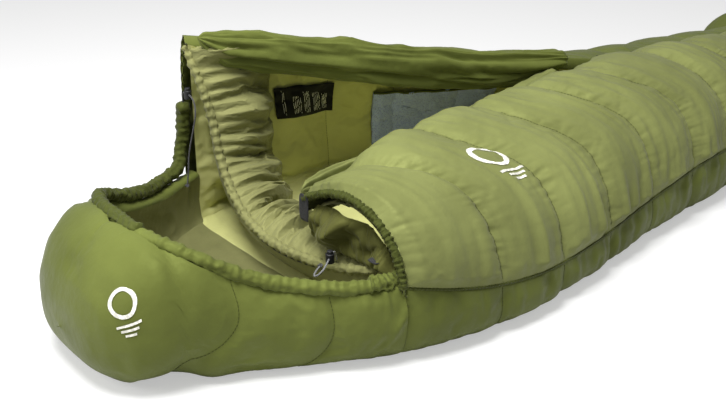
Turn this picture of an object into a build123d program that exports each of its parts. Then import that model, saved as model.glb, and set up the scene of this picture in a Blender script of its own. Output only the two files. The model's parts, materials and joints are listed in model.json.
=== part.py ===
"""Mummy sleeping bag, lying on its back with the side zip half open.

Stations (s) are millimetres from the crown of the hood towards the foot, y runs from the near side
(negative) to the zip side (positive), and z is up from the floor. Each layer of a padded panel is a
ruled loft through cross-sections at a few stations. The finished pieces are moved so that the
origin lies on the floor, under the middle of the bag.
"""
from build123d import *
import math
import os

# ---- driving dimensions, millimetres
BAG_LENGTH = 2200
CROWN_SEAM = 130
NECK = 430
ZIP_START = 1300
ZIP_END = 2050
FOOT_SEAM = 2080
SKIN = 2.0
PAD_DEPTH = 24.0
LINING = 1.6
CLEAR = 0.4
SEAM_GAP = 3.0
ORIGIN = (BAG_LENGTH / 2, 0, 0)

FILL_TOP = SKIN + CLEAR
LINING_TOP = PAD_DEPTH + CLEAR
INSIDE = LINING_TOP + LINING

# (station, value) knots, joined by straight lines
HALF_WIDTH = [(130, 190), (210, 222), (300, 272), (430, 335), (560, 368), (700, 376), (870, 360),
              (1080, 325), (1300, 302), (1500, 284), (1750, 262), (1950, 248), (2080, 240)]
SEAM_HEIGHT = [(430, 140), (560, 108), (700, 88), (870, 86), (1080, 96), (1300, 116), (2080, 98)]
CREST_HEIGHT = [(430, 258), (560, 298), (700, 302), (1080, 314), (1300, 310), (1750, 284), (2080, 256)]
CREST_SIDE = [(430, -190), (560, -130), (1080, -105), (2080, -70)]
RIM_HEIGHT = [(130, 222), (210, 176), (300, 146), (430, 135)]
RIM_LEAN = [(130, 34), (430, 8)]
RIM_TURN = 3
RIM_SHARE = 0.78
SEAM_INSET = 6
FLOOR_CURVE = [(14, 16), (50, 0)]
FAR_FLOOR_CURVE = [(12, 18), (50, 0)]
FAR_SHOULDER = 75
WALL_ANGLES = (25, 50, 72, 90)
QUILT_ANGLES = (90, 66, 44, 22, 0)
QUILT_RISE = 0.7

# closed ends, as (station, half width, lowest z, highest z)
CROWN = [(CROWN_SEAM, 190, 0, 240), (90, 176, 0, 250), (48, 154, 0, 242), (16, 120, 28, 214),
         (0, 76, 62, 176)]
FOOT = [(FOOT_SEAM, 240, 0, 256), (2130, 236, 0, 256), (2172, 218, 8, 246), (BAG_LENGTH, 182, 34, 216)]
END_SQUARENESS = 0.72
END_POINTS = 20
MOUTH_START = (100, 234)
MOUTH_END = (CROWN_SEAM + 5, 221)
MOUTH_REACH = 400

HOOD_STATIONS = [CROWN_SEAM + CLEAR, 210, 300, NECK - CLEAR]
BAG_STATIONS = [NECK, 560, 700, 870, 1080, ZIP_START, 1500, 1750, FOOT_SEAM - CLEAR]

# the zip and the two open edges, as straight lines from one station to another
ZIP_DROP = 50
TAPE_EDGE = 9.0
TOP_LINE = ((NECK, 300, 425), (ZIP_START, TAPE_EDGE, 285))
QUILT_LINE = ((NECK, -70, 215), (ZIP_START, -TAPE_EDGE, 285))
ZIP_LINE = ((ZIP_START, 0, 285), (ZIP_END, 0, 285 - ZIP_DROP))

# far flap and quilt edge: the strips that fold at the two open edges
FLAP_STATIONS = [455, 900, 1080, 1190]
FLAP_WIDTH = [(455, 42), (900, 66), (1080, 52), (1190, 8)]
FLAP_PAD = (1.0, 23.0)
EDGE_STATIONS = [455, 900, 1150]
EDGE_WIDTH = [(455, 44), (900, 34), (1150, 6)]
EDGE_PAD = (1.0, 17.0)
HINGE_CLEAR = 1.0
TAPE_WIDTH = 10.0
TAPE_THICK = 1.0
COIL_WIDTH = 2.0
COIL_THICK = 2.6
COIL_INNER = 0.9
STOP_BOX = (7, 10, 5)
STOP_BOX_OFFSET = 4

# zip slider and pull
SLIDER_START = ZIP_START + 14
SLIDER_LENGTH = 18
SLIDER_WIDTH = 11.5
SLIDER_PLATE = 1.6
SLIDER_CORNER = 3
SLIDER_CLEAR = 0.5
FLANGE_SHORTER = 7
POST_LENGTH = 3
OVERLAP = 0.1
EAR_SIZE = (4, 1.2, 3.6)
EAR_SIDE = 3.6
PIN_RADIUS = 0.8
PIN_RISE = 2.4
PULL_EYE = 2.0
PULL_BORE = 0.9
PULL_WIDTH = 4.6
PULL_LENGTH = 22
PULL_SLOT = (4, 2.4, 4)
PULL_SLOT_AT = 20
GRIP_SIZE = (26, 7, 3.2)
GRIP_AT = 31
GRIP_POCKET = (7.0, 5.4, 2.4)

# small sewn pieces, and the padded tube behind the closed zip
DRAFT_TUBE_RADIUS = 18
DRAFT_TUBE_DROP = 50
DRAFT_TUBE_ENDS = (ZIP_START + 40, ZIP_END - 20)
NECK_TAB = ((421.5, -76, 196), (2, 26, 50))
LOOP_PATCH = ((436, -262, 165), (40, 24, 1.6))
BINDING_LENGTH = 5
FELL_REACH = (-3, 16)
LABEL_ENDS = (650, 800)
LABEL_FACET = (9, 0.0, 0.64)
LABEL_THICK = 0.8
POCKET_ENDS = (890, 1210)
POCKET_FACET = (8, 0.02, 0.98)
POCKET_DEPTH = 14
POCKET_MESH = 1.5
POCKET_BINDING = 2.5
LOOP_OUTER = (26, 44, 12)
LOOP_WEBBING = 1.6
LOOP_SIDE = 60
LOOP_HEIGHT = 125
LOOP_OFFSET = 13.4

# cords and cord locks
CORD_RADIUS = 1.5
HEM_RADIUS = 8.0
HEM_BORE = 2.5
COLLAR_RADIUS = 32
HEM_ROUTE = [(419, 310, 292), (419, 314, 264), (418, 317.5, 230), (411, 318, 190), (396, 306, 160),
             (350, 284, 153), (300, 247, 160), (252, 216, 173), (210, 188, 190), (168, 163, 215),
             (134, 116, 235), (118, 62, 239), (114, 0, 240), (118, -62, 239), (134, -116, 235),
             (168, -163, 215), (210, -188, 190), (252, -216, 173), (300, -247, 160), (350, -278, 152),
             (392, -296, 150)]
HOOD_TAIL = [(419, 310, 292.3), (418, 308, 310), (414.6, 292, 318), (406.8, 252.8, 318),
             (403, 237, 308), (399.5, 231, 290), (395, 234, 264), (390, 240, 234), (386, 245, 204),
             (385, 248, 174), (381, 250, 144)]
COLLAR_ROUTE = [(446, 226, 262), (436, 206, 170), (420, 120, 104), (404, 10, 92), (412, -100, 96),
                (434, -190, 108), (450, -246, 128)]
COLLAR_TAIL = [(415.5, -174, 136.5), (408, -179, 156), (394, -190.4, 163), (366, -212.4, 163),
               (350, -222, 157), (341, -216, 147), (344, -203, 141), (356, -194, 143), (370, -188, 146)]
CORD_CORNER = 0.45
HOOD_LOCK = ((411.2, 275, 318), 78.7)
COLLAR_LOCK = ((379, -202.2, 163), 38.2)
LOCK_RADIUS = 7.5
LOCK_FLOOR = -9.5
LOCK_TOP = 7.5
LOCK_TRAVEL = 3.5
PLUNGER_RADIUS = 5.0
PLUNGER_CLEAR = 0.15
LOCK_WALL = 1.6
LOCK_WEB = 1.0
LOCK_BORE_CLEAR = 0.6
LOCK_ROUNDING = 1.5
PLUNGER_ROUNDING = 1.0
SPRING_RADII = (3.6, 2.8)
SPRING_CLEAR = 0.1

NEAR_TO_FAR = Plane(origin=(0, 0, 0), x_dir=(0, 1, 0), z_dir=(1, 0, 0))


def save(shape, name):
    """Write one piece, moved so that the middle of the bag is over the origin."""
    export_step(Pos(-ORIGIN[0], -ORIGIN[1], -ORIGIN[2]) * shape, f"parts/{name}.step")


def along(s, knots):
    """Value at station s on the straight lines between (station, value) knots."""
    if s <= knots[0][0]:
        return knots[0][1]
    for (s0, v0), (s1, v1) in zip(knots, knots[1:]):
        if s <= s1:
            return v0 + (v1 - v0) * (s - s0) / (s1 - s0)
    return knots[-1][1]


def on_line(s, line):
    """(y, z) where a straight line in space crosses station s."""
    (s0, y0, z0), (s1, y1, z1) = line
    t = (s - s0) / (s1 - s0)
    return y0 + (y1 - y0) * t, z0 + (z1 - z0) * t


def inset(points, depth, first, last):
    """Open outline moved to its left by depth; its two ends move along first and last."""
    moved = [(points[0][0] + depth * first[0], points[0][1] + depth * first[1])]
    for a, b, c in zip(points, points[1:], points[2:]):
        u = Vector(b[0] - a[0], b[1] - a[1]).normalized()
        v = Vector(c[0] - b[0], c[1] - b[1]).normalized()
        share = depth / (1 + u.dot(v))
        moved.append((b[0] - share * (u.Y + v.Y), b[1] + share * (u.X + v.X)))
    moved.append((points[-1][0] + depth * last[0], points[-1][1] + depth * last[1]))
    return moved


def section(s, points):
    """Closed face at station s through (y, z) points."""
    return Pos(s, 0, 0) * (NEAR_TO_FAR * Polygon(*points, align=None))


def layer(stations, outline, outer, inner):
    """One layer of a padded panel, between two depths under its outside."""
    faces = []
    for s in stations:
        points, first, last = outline(s)
        ring = inset(points, outer, first, last) + inset(points, inner, first, last)[::-1]
        faces.append(section(s, ring))
    return loft(faces, ruled=True)


def padded(name, stations, outline):
    """Shell, fill and lining of one padded panel, each in its own file."""
    save(layer(stations, outline, 0, SKIN), f"{name}_shell")
    save(layer(stations, outline, FILL_TOP, PAD_DEPTH), f"{name}_fill")
    save(layer(stations, outline, LINING_TOP, INSIDE), f"{name}_lining")


def base_outline(s):
    """Outside of the base: near seam, floor, and the far wall up to the zip's edge."""
    w, seam = along(s, HALF_WIDTH), along(s, SEAM_HEIGHT)
    top_y, top_z = on_line(s, TOP_LINE if s < ZIP_START else ZIP_LINE)
    if s >= ZIP_START:
        top_y = TAPE_EDGE
    near_floor = [(a - w, z) for a, z in FLOOR_CURVE]
    far_floor = [(w - a, z) for a, z in reversed(FAR_FLOOR_CURVE)]
    points = [(SEAM_INSET - w, seam), (-w, seam / 2), *near_floor, (-w / 3, 0), (w / 3, 0), *far_floor,
              (w, FAR_SHOULDER)]
    for angle in WALL_ANGLES:
        y = top_y + (w - top_y) * math.cos(math.radians(angle))
        points.append((y, FAR_SHOULDER + (top_z - FAR_SHOULDER) * math.sin(math.radians(angle))))
    last = (0, -1) if s >= ZIP_START else (-1, 0)
    return points, (1, 0), last


def quilt_outline(s):
    """Outside of the top quilt, from its zip edge over the crest to the near seam."""
    w, seam = along(s, HALF_WIDTH), along(s, SEAM_HEIGHT) + SEAM_GAP
    crest_y, crest_z = along(s, CREST_SIDE), along(s, CREST_HEIGHT)
    edge_y, edge_z = on_line(s, QUILT_LINE if s < ZIP_START else ZIP_LINE)
    if s >= ZIP_START:
        edge_y = -TAPE_EDGE
    points = [(edge_y, edge_z)]
    points.append(((edge_y + crest_y) / 2, edge_z + QUILT_RISE * (crest_z - edge_z)))
    for angle in QUILT_ANGLES:
        y = crest_y - (crest_y + w - SEAM_INSET) * math.cos(math.radians(angle))
        points.append((y, seam + (crest_z - seam) * math.sin(math.radians(angle))))
    return points, (0, -1), (1, 0)


def hood_outline(s):
    """Outside of the hood's neck, from its near rim under the head to its far rim."""
    w, rim, lean = along(s, HALF_WIDTH), along(s, RIM_HEIGHT), along(s, RIM_LEAN)
    floor = [(a - w, z) for a, z in FLOOR_CURVE]
    near = [(lean - w, rim), (RIM_TURN - w, RIM_SHARE * rim), (-w, rim / 2), *floor, (-w / 3, 0)]
    far = [(-y, z) for y, z in reversed(near)]
    return near + far, (1, 0), (-1, 0)


def cup(stations, depth, tip):
    """Closed end of the bag: filled loft through rounded sections, pulled in by depth.

    Each station is (s, half width, lowest z, highest z); tip is +1 where the end faces the foot
    and -1 where it faces the crown.
    """
    faces = []
    seam_s = stations[0][0]
    span = abs(stations[-1][0] - seam_s)
    for s, half, low, high in stations:
        reach = abs(s - seam_s) * (span - depth) / span
        middle, rise = (low + high) / 2, (high - low) / 2 - depth
        points = []
        for k in range(END_POINTS):
            turn = 2 * math.pi * k / END_POINTS
            points.append(((half - depth) * squared(math.cos(turn)), middle + rise * squared(math.sin(turn))))
        faces.append(section(seam_s + tip * reach, points))
    return loft(faces, ruled=True)


def squared(value):
    """Sine or cosine made squarer, keeping its sign."""
    return math.copysign(abs(value) ** END_SQUARENESS, value)


def cup_layers(name, stations, tip, mouth=None):
    """Shell, fill and lining of a closed end, with an opening cut where mouth is given."""
    depths = {"shell": (0, SKIN), "fill": (FILL_TOP, PAD_DEPTH), "lining": (LINING_TOP, INSIDE)}
    for piece, (outer, inner) in depths.items():
        wall = cup(stations, outer, tip) - cup(stations, inner, tip)
        if mouth is not None:
            wall -= mouth
        save(wall, f"{name}_{piece}")


def wall_outline(s):
    """Base outline on the straight chords between the stations that bound s."""
    before = max(t for t in BAG_STATIONS if t <= s)
    after = min(t for t in BAG_STATIONS if t > s)
    t = (s - before) / (after - before)
    a, first, last = base_outline(before)
    b = base_outline(after)[0]
    return [(p[0] + (q[0] - p[0]) * t, p[1] + (q[1] - p[1]) * t) for p, q in zip(a, b)], first, last


def patch(s0, s1, span, depths):
    """Thin piece on the inside of the far wall, along one facet of its outline.

    span is (facet, start share, end share), and depths are measured from the outside of the wall.
    """
    facet, start, end = span
    faces = []
    for s in [s0, *(t for t in BAG_STATIONS if s0 < t < s1), s1]:
        points, first, last = wall_outline(s)
        rows = [inset(points, depth, first, last) for depth in depths]
        ring = []
        for row, shares in zip(rows, ((start, end), (end, start))):
            a, b = Vector(*row[facet]), Vector(*row[facet + 1])
            ring += [tuple(a + (b - a) * share)[:2] for share in shares]
        faces.append(section(s, ring))
    return loft(faces, ruled=True)


def route_path(points):
    """Straight runs joined by tangent arcs, each arc as large as its two runs allow."""
    corners = [Vector(*p) for p in points]
    radii = []
    for a, b, c in zip(corners, corners[1:], corners[2:]):
        half_turn = math.radians((b - a).get_angle(c - b)) / 2
        radii.append(CORD_CORNER * min((b - a).length, (c - b).length) / math.tan(half_turn))
    return FilletPolyline(*points, radius=radii), radii


def tube(points, radius, bore=0):
    """Round tube along a route, with an optional bore."""
    path, radii = route_path(points)
    start = Plane(origin=path @ 0, z_dir=path % 0)
    solid = sweep(start * Circle(radius), path=path)
    if bore:
        solid -= sweep(start * Circle(bore), path=path)
    return solid, path, radii


def cord(name, points):
    """One cord, with its radii and its volume against section times length printed."""
    solid, path, radii = tube(points, CORD_RADIUS)
    expected = math.pi * CORD_RADIUS ** 2 * path.length
    print(name, f"length {path.length:.0f} mm, volume {solid.volume / expected:.4f} of section x length")
    print("  arc radii", [round(r, 1) for r in radii])
    save(solid, name)


def strip(stations, line, side, across, down):
    """Strip that hangs from an open edge: across and down are offsets from its hinge line.

    side is -1 where the strip lies towards the near side of its line and +1 where it lies beyond.
    down gives the strip's top and bottom, each as (station, value) knots.
    """
    faces = []
    for s in stations:
        y, z = on_line(s, line)
        y0, y1 = y + side * across[0], y + side * across[1]
        z0, z1 = z - along(s, down[0]), z - along(s, down[1])
        faces.append(section(s, [(y0, z0), (y1, z0), (y1, z1), (y0, z1)]))
    return loft(faces, ruled=True)


def level(value):
    """Knots of a value that is the same at every station."""
    return [(0, value)]


def raised(knots, amount):
    """Knots with an amount added to each value."""
    return [(s, value + amount) for s, value in knots]


def centred(middle, thick):
    """The two sides of a layer round its middle."""
    return middle - thick / 2, middle + thick / 2


def folding_edge(name, stations, line, side, pad, width):
    """Shell, fill, tape and coil half of an unzipped edge strip."""
    cloth = (level(0), width)
    save(strip(stations, line, side, (pad[1] - SKIN, pad[1]), cloth), f"{name}_shell")
    save(strip(stations, line, side, (pad[0] + SKIN, pad[1] - FILL_TOP), cloth), f"{name}_fill")
    save(strip(stations, line, side, (pad[0], pad[0] + LINING), cloth), f"{name}_lining")
    middle = (pad[0] + pad[1]) / 2
    tape_top = raised(width, CLEAR)
    tape_end = raised(tape_top, TAPE_WIDTH)
    coil_end = raised(tape_end, COIL_WIDTH)
    tape, coil = centred(middle, TAPE_THICK), centred(middle, COIL_THICK)
    save(strip(stations, line, side, tape, (tape_top, tape_end)), f"zip_tape_{name}")
    save(strip(stations, line, side, coil, (tape_end, coil_end)), f"zip_coil_{name}")


def closed_zip():
    """The two tapes and two coil halves along the closed part, and the stop box at its foot end."""
    ends = [ZIP_START, ZIP_END]
    coil = (COIL_INNER, COIL_INNER + COIL_WIDTH)
    tape = (coil[1] + OVERLAP, TAPE_EDGE - CLEAR)
    flat = [level(z) for z in centred(0, TAPE_THICK)]
    round_it = [level(z) for z in centred(0, COIL_THICK)]
    for name, side in (("base", 1), ("quilt", -1)):
        save(strip(ends, ZIP_LINE, side, tape, flat), f"zip_tape_{name}")
        save(strip(ends, ZIP_LINE, side, coil, round_it), f"zip_coil_{name}")
    y, z = on_line(ZIP_END, ZIP_LINE)
    save(Pos(ZIP_END + STOP_BOX_OFFSET, y, z) * Box(*STOP_BOX), "zip_stop_box")


def zip_frame(s, lift=0):
    """Frame on the zip line at station s: x along the zip towards the foot, z out of the bag."""
    y, z = on_line(s, ZIP_LINE)
    slope = (ZIP_LINE[1][2] - ZIP_LINE[0][2]) / (ZIP_LINE[1][0] - ZIP_LINE[0][0])
    frame = Plane(origin=(s, y, z), x_dir=(1, 0, slope), z_dir=(-slope, 0, 1))
    return frame.offset(lift)


def slider_body(gap, pin_height):
    """Two plates with side flanges, the post between the coil halves, and the ears with their pin."""
    body = Box(SLIDER_LENGTH, SLIDER_WIDTH, SLIDER_PLATE)
    plate_height = gap + SLIDER_PLATE / 2
    body = Pos(0, 0, plate_height) * body + Pos(0, 0, -plate_height) * body
    body = fillet(body.edges().filter_by(Axis.Z), SLIDER_CORNER)
    flange_gap = TAPE_THICK / 2 + SLIDER_CLEAR
    flange_high = gap - flange_gap
    inner = COIL_INNER + COIL_WIDTH + SLIDER_CLEAR + OVERLAP
    outer = SLIDER_WIDTH / 2
    flange = Box(SLIDER_LENGTH - FLANGE_SHORTER, outer - inner, flange_high + 2 * OVERLAP)
    ear = Box(*EAR_SIZE) + Pos(0, 0, EAR_SIZE[2] / 2) * Rot(90, 0, 0) * Cylinder(EAR_SIZE[0] / 2, EAR_SIZE[1])
    for side in (-1, 1):
        for up in (-1, 1):
            body += Pos(0, side * (inner + outer) / 2, up * (flange_gap + flange_high / 2)) * flange
        body += Pos(0, side * EAR_SIDE, pin_height - EAR_SIZE[2] / 2) * ear
    post = Box(POST_LENGTH, 2 * COIL_INNER - 2 * CLEAR, 2 * gap + 2 * OVERLAP)
    body += Pos((FLANGE_SHORTER - SLIDER_LENGTH) / 2, 0, 0) * post
    body += Pos(0, 0, pin_height) * Rot(90, 0, 0) * Cylinder(PIN_RADIUS, 2 * EAR_SIDE + 2 * OVERLAP)
    return body


def zip_slider():
    """Slider round the coil, and its pull with a moulded grip."""
    frame = zip_frame(SLIDER_START)
    gap = COIL_THICK / 2 + SLIDER_CLEAR
    pin_height = gap + SLIDER_PLATE + PIN_RISE
    save(frame * slider_body(gap, pin_height), "zip_slider")

    pivot = frame * Pos(0, 0, pin_height)
    print("zip pull pivot", pivot.position - Vector(*ORIGIN))
    pull = Rot(90, 0, 0) * Cylinder(PULL_EYE, PULL_WIDTH)
    pull += Pos(1 + PULL_LENGTH / 2, 0, 0) * Box(PULL_LENGTH, PULL_WIDTH, SLIDER_PLATE)
    pull -= Rot(90, 0, 0) * Cylinder(PULL_BORE, 2 * PULL_WIDTH)
    pull -= Pos(PULL_SLOT_AT, 0, 0) * Box(*PULL_SLOT)
    save(pivot * pull, "zip_pull")
    grip = Pos(GRIP_AT, 0, 0) * Box(*GRIP_SIZE)
    grip = fillet(grip.edges().filter_by(Axis.Z), SLIDER_CORNER)
    grip -= Pos(PULL_SLOT_AT, 0, 0) * Box(*GRIP_POCKET)
    save(pivot * grip, "zip_pull_grip")


def upright(radius, low, high):
    """Upright cylinder between two heights."""
    return Pos(0, 0, (low + high) / 2) * Cylinder(radius, high - low)


def cord_lock(name, centre, heading):
    """Barrel lock: body, sprung plunger and spring. The cord crosses it, level, along heading."""
    place = Pos(*centre) * Rot(0, 0, heading)
    slot_low, slot_high = -CORD_RADIUS - CLEAR, CORD_RADIUS + CLEAR + LOCK_TRAVEL
    across = Rot(0, 90, 0) * Cylinder(CORD_RADIUS + LOCK_BORE_CLEAR, 4 * LOCK_RADIUS)
    body = upright(LOCK_RADIUS, LOCK_FLOOR, LOCK_TOP)
    body = fillet(body.edges().filter_by(GeomType.CIRCLE), LOCK_ROUNDING)
    body -= upright(PLUNGER_RADIUS + PLUNGER_CLEAR, LOCK_FLOOR + LOCK_WALL, LOCK_TOP + LOCK_WEB)
    save(place * (body - across), f"{name}_body")

    low, high = slot_low - LOCK_WEB, LOCK_TOP + LOCK_TRAVEL + LOCK_WALL
    plunger = upright(PLUNGER_RADIUS, low, high)
    plunger = fillet(plunger.edges().sort_by(Axis.Z)[-1], PLUNGER_ROUNDING)
    slot = Box(4 * LOCK_RADIUS, 2 * (CORD_RADIUS + CLEAR), slot_high - slot_low)
    plunger -= Pos(0, 0, (slot_low + slot_high) / 2) * slot
    save(place * plunger, f"{name}_plunger")

    ends = (LOCK_FLOOR + LOCK_WALL + SPRING_CLEAR, low - SPRING_CLEAR)
    outer, inner = SPRING_RADII
    save(place * (upright(outer, *ends) - upright(inner, *ends)), f"{name}_spring")


def pocket():
    """Flat mesh pocket on the lining of the far wall, open along its top, with a bound edge."""
    facet, low, high = POCKET_FACET
    start, end = POCKET_ENDS
    back, front = INSIDE + CLEAR, INSIDE + POCKET_DEPTH
    bag = patch(start, end, POCKET_FACET, (back, front))
    hollow = patch(start + 2, end - 2, (facet, low + 0.02, high + 0.2), (back - 3, front - POCKET_MESH))
    mouth = patch(start - 5, end + 5, (facet, high - 0.03, high + 0.3), (back - 3, front + 3))
    save(bag - hollow - mouth, "mesh_pocket")
    edge = patch(start, end, (facet, high - 0.02, high + 0.1), (front - POCKET_BINDING, front))
    save(edge, "pocket_binding")


def hanging_loops():
    """Two webbing loops sewn to the foot end, each round a clear gap."""
    length, width, height = LOOP_OUTER
    gap = Box(length, width - 2 * LOOP_WEBBING, height + 2)
    loop = Box(*LOOP_OUTER) - Pos(-LOOP_WEBBING, 0, 0) * gap
    places = [(BAG_LENGTH + LOOP_OFFSET, side * LOOP_SIDE, LOOP_HEIGHT) for side in (-1, 1)]
    save(Compound(children=[Pos(*place) * loop for place in places]), "hanging_loops")


def side_seam():
    """Flat felled seam between the base and the quilt, along the near side."""
    faces = []
    for s in BAG_STATIONS:
        y, z = SEAM_INSET - along(s, HALF_WIDTH), along(s, SEAM_HEIGHT)
        left, right = y + FELL_REACH[0], y + FELL_REACH[1]
        low, high = z + CLEAR, z + SEAM_GAP - CLEAR
        faces.append(section(s, [(left, low), (right, low), (right, high), (left, high)]))
    return loft(faces, ruled=True)


def flap_line():
    """Hinge line of the far flap, just inside and above the far wall's top."""
    return tuple((s, y - INSIDE - HINGE_CLEAR, z + HINGE_CLEAR) for s, y, z in TOP_LINE)


def edge_line():
    """Hinge line of the quilt's zip edge."""
    return tuple((s, y + HINGE_CLEAR, z + HINGE_CLEAR) for s, y, z in QUILT_LINE)


def draft_tube():
    """Padded tube that hangs behind the closed part of the zip."""
    ends = []
    for s in DRAFT_TUBE_ENDS:
        y, z = on_line(s, ZIP_LINE)
        ends.append((s, y, z - DRAFT_TUBE_DROP))
    path = Line(*ends)
    start = Plane(origin=path @ 0, z_dir=path % 0)
    save(sweep(start * Circle(DRAFT_TUBE_RADIUS), path=path), "draft_tube")


def small_sewn_pieces():
    """Neck tab, loop patch, neck binding, side seam, care label, pocket and hanging loops."""
    for name, (centre, size) in (("neck_tab", NECK_TAB), ("loop_patch", LOOP_PATCH)):
        save(Pos(*centre) * Box(*size), name)
    save(layer([NECK - BINDING_LENGTH, NECK - CLEAR], quilt_outline, 0, INSIDE), "quilt_neck_binding")
    save(side_seam(), "side_seam")
    under = INSIDE + CLEAR
    save(patch(*LABEL_ENDS, LABEL_FACET, (under, under + LABEL_THICK)), "care_label")
    pocket()
    hanging_loops()


def main():
    os.makedirs("parts", exist_ok=True)
    padded("base", BAG_STATIONS, base_outline)
    padded("quilt", BAG_STATIONS, quilt_outline)
    padded("hood_neck", HOOD_STATIONS, hood_outline)
    profile = [(MOUTH_START[0], MOUTH_REACH), MOUTH_START, MOUTH_END, (MOUTH_END[0], MOUTH_REACH)]
    mouth = extrude(Plane.XZ * Polygon(*profile, align=None), amount=MOUTH_REACH, both=True)
    cup_layers("hood_crown", CROWN, -1, mouth)
    cup_layers("footbox", FOOT, 1)

    folding_edge("far_flap", FLAP_STATIONS, flap_line(), -1, FLAP_PAD, FLAP_WIDTH)
    folding_edge("quilt_edge", EDGE_STATIONS, edge_line(), 1, EDGE_PAD, EDGE_WIDTH)
    closed_zip()
    zip_slider()
    draft_tube()

    save(tube(COLLAR_ROUTE, COLLAR_RADIUS, HEM_BORE)[0], "draft_collar")
    save(tube(HEM_ROUTE, HEM_RADIUS, HEM_BORE)[0], "hood_hem")
    cord("hood_drawcord", HEM_ROUTE)
    cord("hood_cord_tail", HOOD_TAIL)
    cord("collar_drawcord", COLLAR_ROUTE)
    cord("collar_cord_tail", COLLAR_TAIL)
    cord_lock("hood_lock", *HOOD_LOCK)
    cord_lock("collar_lock", *COLLAR_LOCK)
    small_sewn_pieces()


main()
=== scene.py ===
"""Looks of a mummy sleeping bag that lies on its back with its side zip half open.

Every length is in metres. A station is the distance from the crown of the hood towards the foot,
and row() turns it into the frame's x. Panels are grids: one row per station, one column per step
round the section. A grid is shaped, swollen as cloth, refined, creased and only then made a mesh.
"""
import json
import math

import bmesh
import bpy
import numpy as np
from mathutils import Matrix, Vector


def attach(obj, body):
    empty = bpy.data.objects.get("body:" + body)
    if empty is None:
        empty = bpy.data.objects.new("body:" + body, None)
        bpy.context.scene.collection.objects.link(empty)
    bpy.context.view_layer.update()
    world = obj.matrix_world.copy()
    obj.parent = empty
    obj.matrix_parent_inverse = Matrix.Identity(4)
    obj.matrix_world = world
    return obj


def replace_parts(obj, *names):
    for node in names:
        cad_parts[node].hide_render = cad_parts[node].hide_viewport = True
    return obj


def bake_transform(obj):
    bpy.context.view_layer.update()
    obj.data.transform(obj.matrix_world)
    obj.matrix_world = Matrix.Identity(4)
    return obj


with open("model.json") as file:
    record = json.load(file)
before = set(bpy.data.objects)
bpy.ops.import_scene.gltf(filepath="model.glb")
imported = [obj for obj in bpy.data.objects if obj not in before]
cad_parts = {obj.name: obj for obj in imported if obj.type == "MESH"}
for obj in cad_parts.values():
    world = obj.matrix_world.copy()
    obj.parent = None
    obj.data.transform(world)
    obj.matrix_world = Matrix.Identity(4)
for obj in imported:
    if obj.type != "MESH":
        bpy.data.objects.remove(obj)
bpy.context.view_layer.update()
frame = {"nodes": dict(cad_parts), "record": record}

# ---- the design's driving dimensions, as in the part
CROWN_TO_ORIGIN = 1.1
CROWN_SEAM = 0.130
NECK = 0.430
ZIP_START = 1.300
ZIP_END = 2.050
FOOT_SEAM = 2.080
DEPTH = 0.026
SEAM_GAP = 0.003
TAPE_EDGE = 0.009

HALF_WIDTH = [(0.130, 0.190), (0.210, 0.222), (0.300, 0.272), (0.430, 0.335), (0.560, 0.368),
              (0.700, 0.376), (0.870, 0.360), (1.080, 0.325), (1.300, 0.302), (1.500, 0.284),
              (1.750, 0.262), (1.950, 0.248), (2.080, 0.240)]
SEAM_HEIGHT = [(0.430, 0.140), (0.560, 0.108), (0.700, 0.088), (0.870, 0.086), (1.080, 0.096),
               (1.300, 0.116), (2.080, 0.098)]
CREST_HEIGHT = [(0.430, 0.258), (0.560, 0.298), (0.700, 0.302), (1.080, 0.314), (1.300, 0.310),
                (1.750, 0.284), (2.080, 0.256)]
CREST_SIDE = [(0.430, -0.190), (0.560, -0.130), (1.080, -0.105), (2.080, -0.070)]
RIM_HEIGHT = [(0.130, 0.222), (0.210, 0.176), (0.300, 0.146), (0.430, 0.135)]
RIM_LEAN = [(0.130, 0.034), (0.430, 0.008)]
CROWN = [(0.130, 0.190, 0.0, 0.240), (0.090, 0.176, 0.0, 0.238), (0.048, 0.152, 0.0, 0.208),
         (0.016, 0.116, 0.026, 0.166), (0.002, 0.080, 0.048, 0.128), (-0.002, 0.036, 0.070, 0.108),
         (-0.003, 0.001, 0.088, 0.090)]
FOOT = [(2.080, 0.240, 0.0, 0.256), (2.130, 0.236, 0.0, 0.256), (2.172, 0.218, 0.008, 0.246),
        (2.200, 0.182, 0.034, 0.216), (2.208, 0.100, 0.078, 0.172), (2.211, 0.001, 0.124, 0.126)]
TOP_LINE = ((0.430, 0.300, 0.425), (1.300, 0.009, 0.285))
QUILT_LINE = ((0.430, -0.070, 0.215), (1.300, -0.009, 0.285))
ZIP_LINE = ((1.300, 0.0, 0.285), (2.050, 0.0, 0.235))
FLAP_WIDTH = [(0.455, 0.042), (0.900, 0.066), (1.080, 0.052), (1.190, 0.008)]
EDGE_WIDTH = [(0.455, 0.044), (0.900, 0.034), (1.150, 0.006)]
SUPER = 0.72

# ---- cords: routes repeated from the part
CORD_RADIUS = 0.0015
HEM_ROUTE = [(0.419, 0.310, 0.292), (0.419, 0.314, 0.264), (0.418, 0.3175, 0.230), (0.411, 0.318, 0.190),
             (0.396, 0.306, 0.160), (0.350, 0.284, 0.153), (0.300, 0.247, 0.160), (0.252, 0.216, 0.173),
             (0.210, 0.188, 0.190), (0.168, 0.163, 0.215), (0.134, 0.116, 0.235), (0.118, 0.062, 0.239),
             (0.114, 0.0, 0.240), (0.118, -0.062, 0.239), (0.134, -0.116, 0.235), (0.168, -0.163, 0.215),
             (0.210, -0.188, 0.190), (0.252, -0.216, 0.173), (0.300, -0.247, 0.160), (0.350, -0.278, 0.152),
             (0.392, -0.296, 0.150)]
HOOD_TAIL = [(0.419, 0.310, 0.2923), (0.418, 0.308, 0.310), (0.4146, 0.292, 0.318),
             (0.4068, 0.2528, 0.318), (0.403, 0.237, 0.308), (0.3995, 0.231, 0.290),
             (0.395, 0.234, 0.264), (0.390, 0.240, 0.234), (0.386, 0.245, 0.204),
             (0.385, 0.248, 0.174), (0.381, 0.250, 0.144)]
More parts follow.
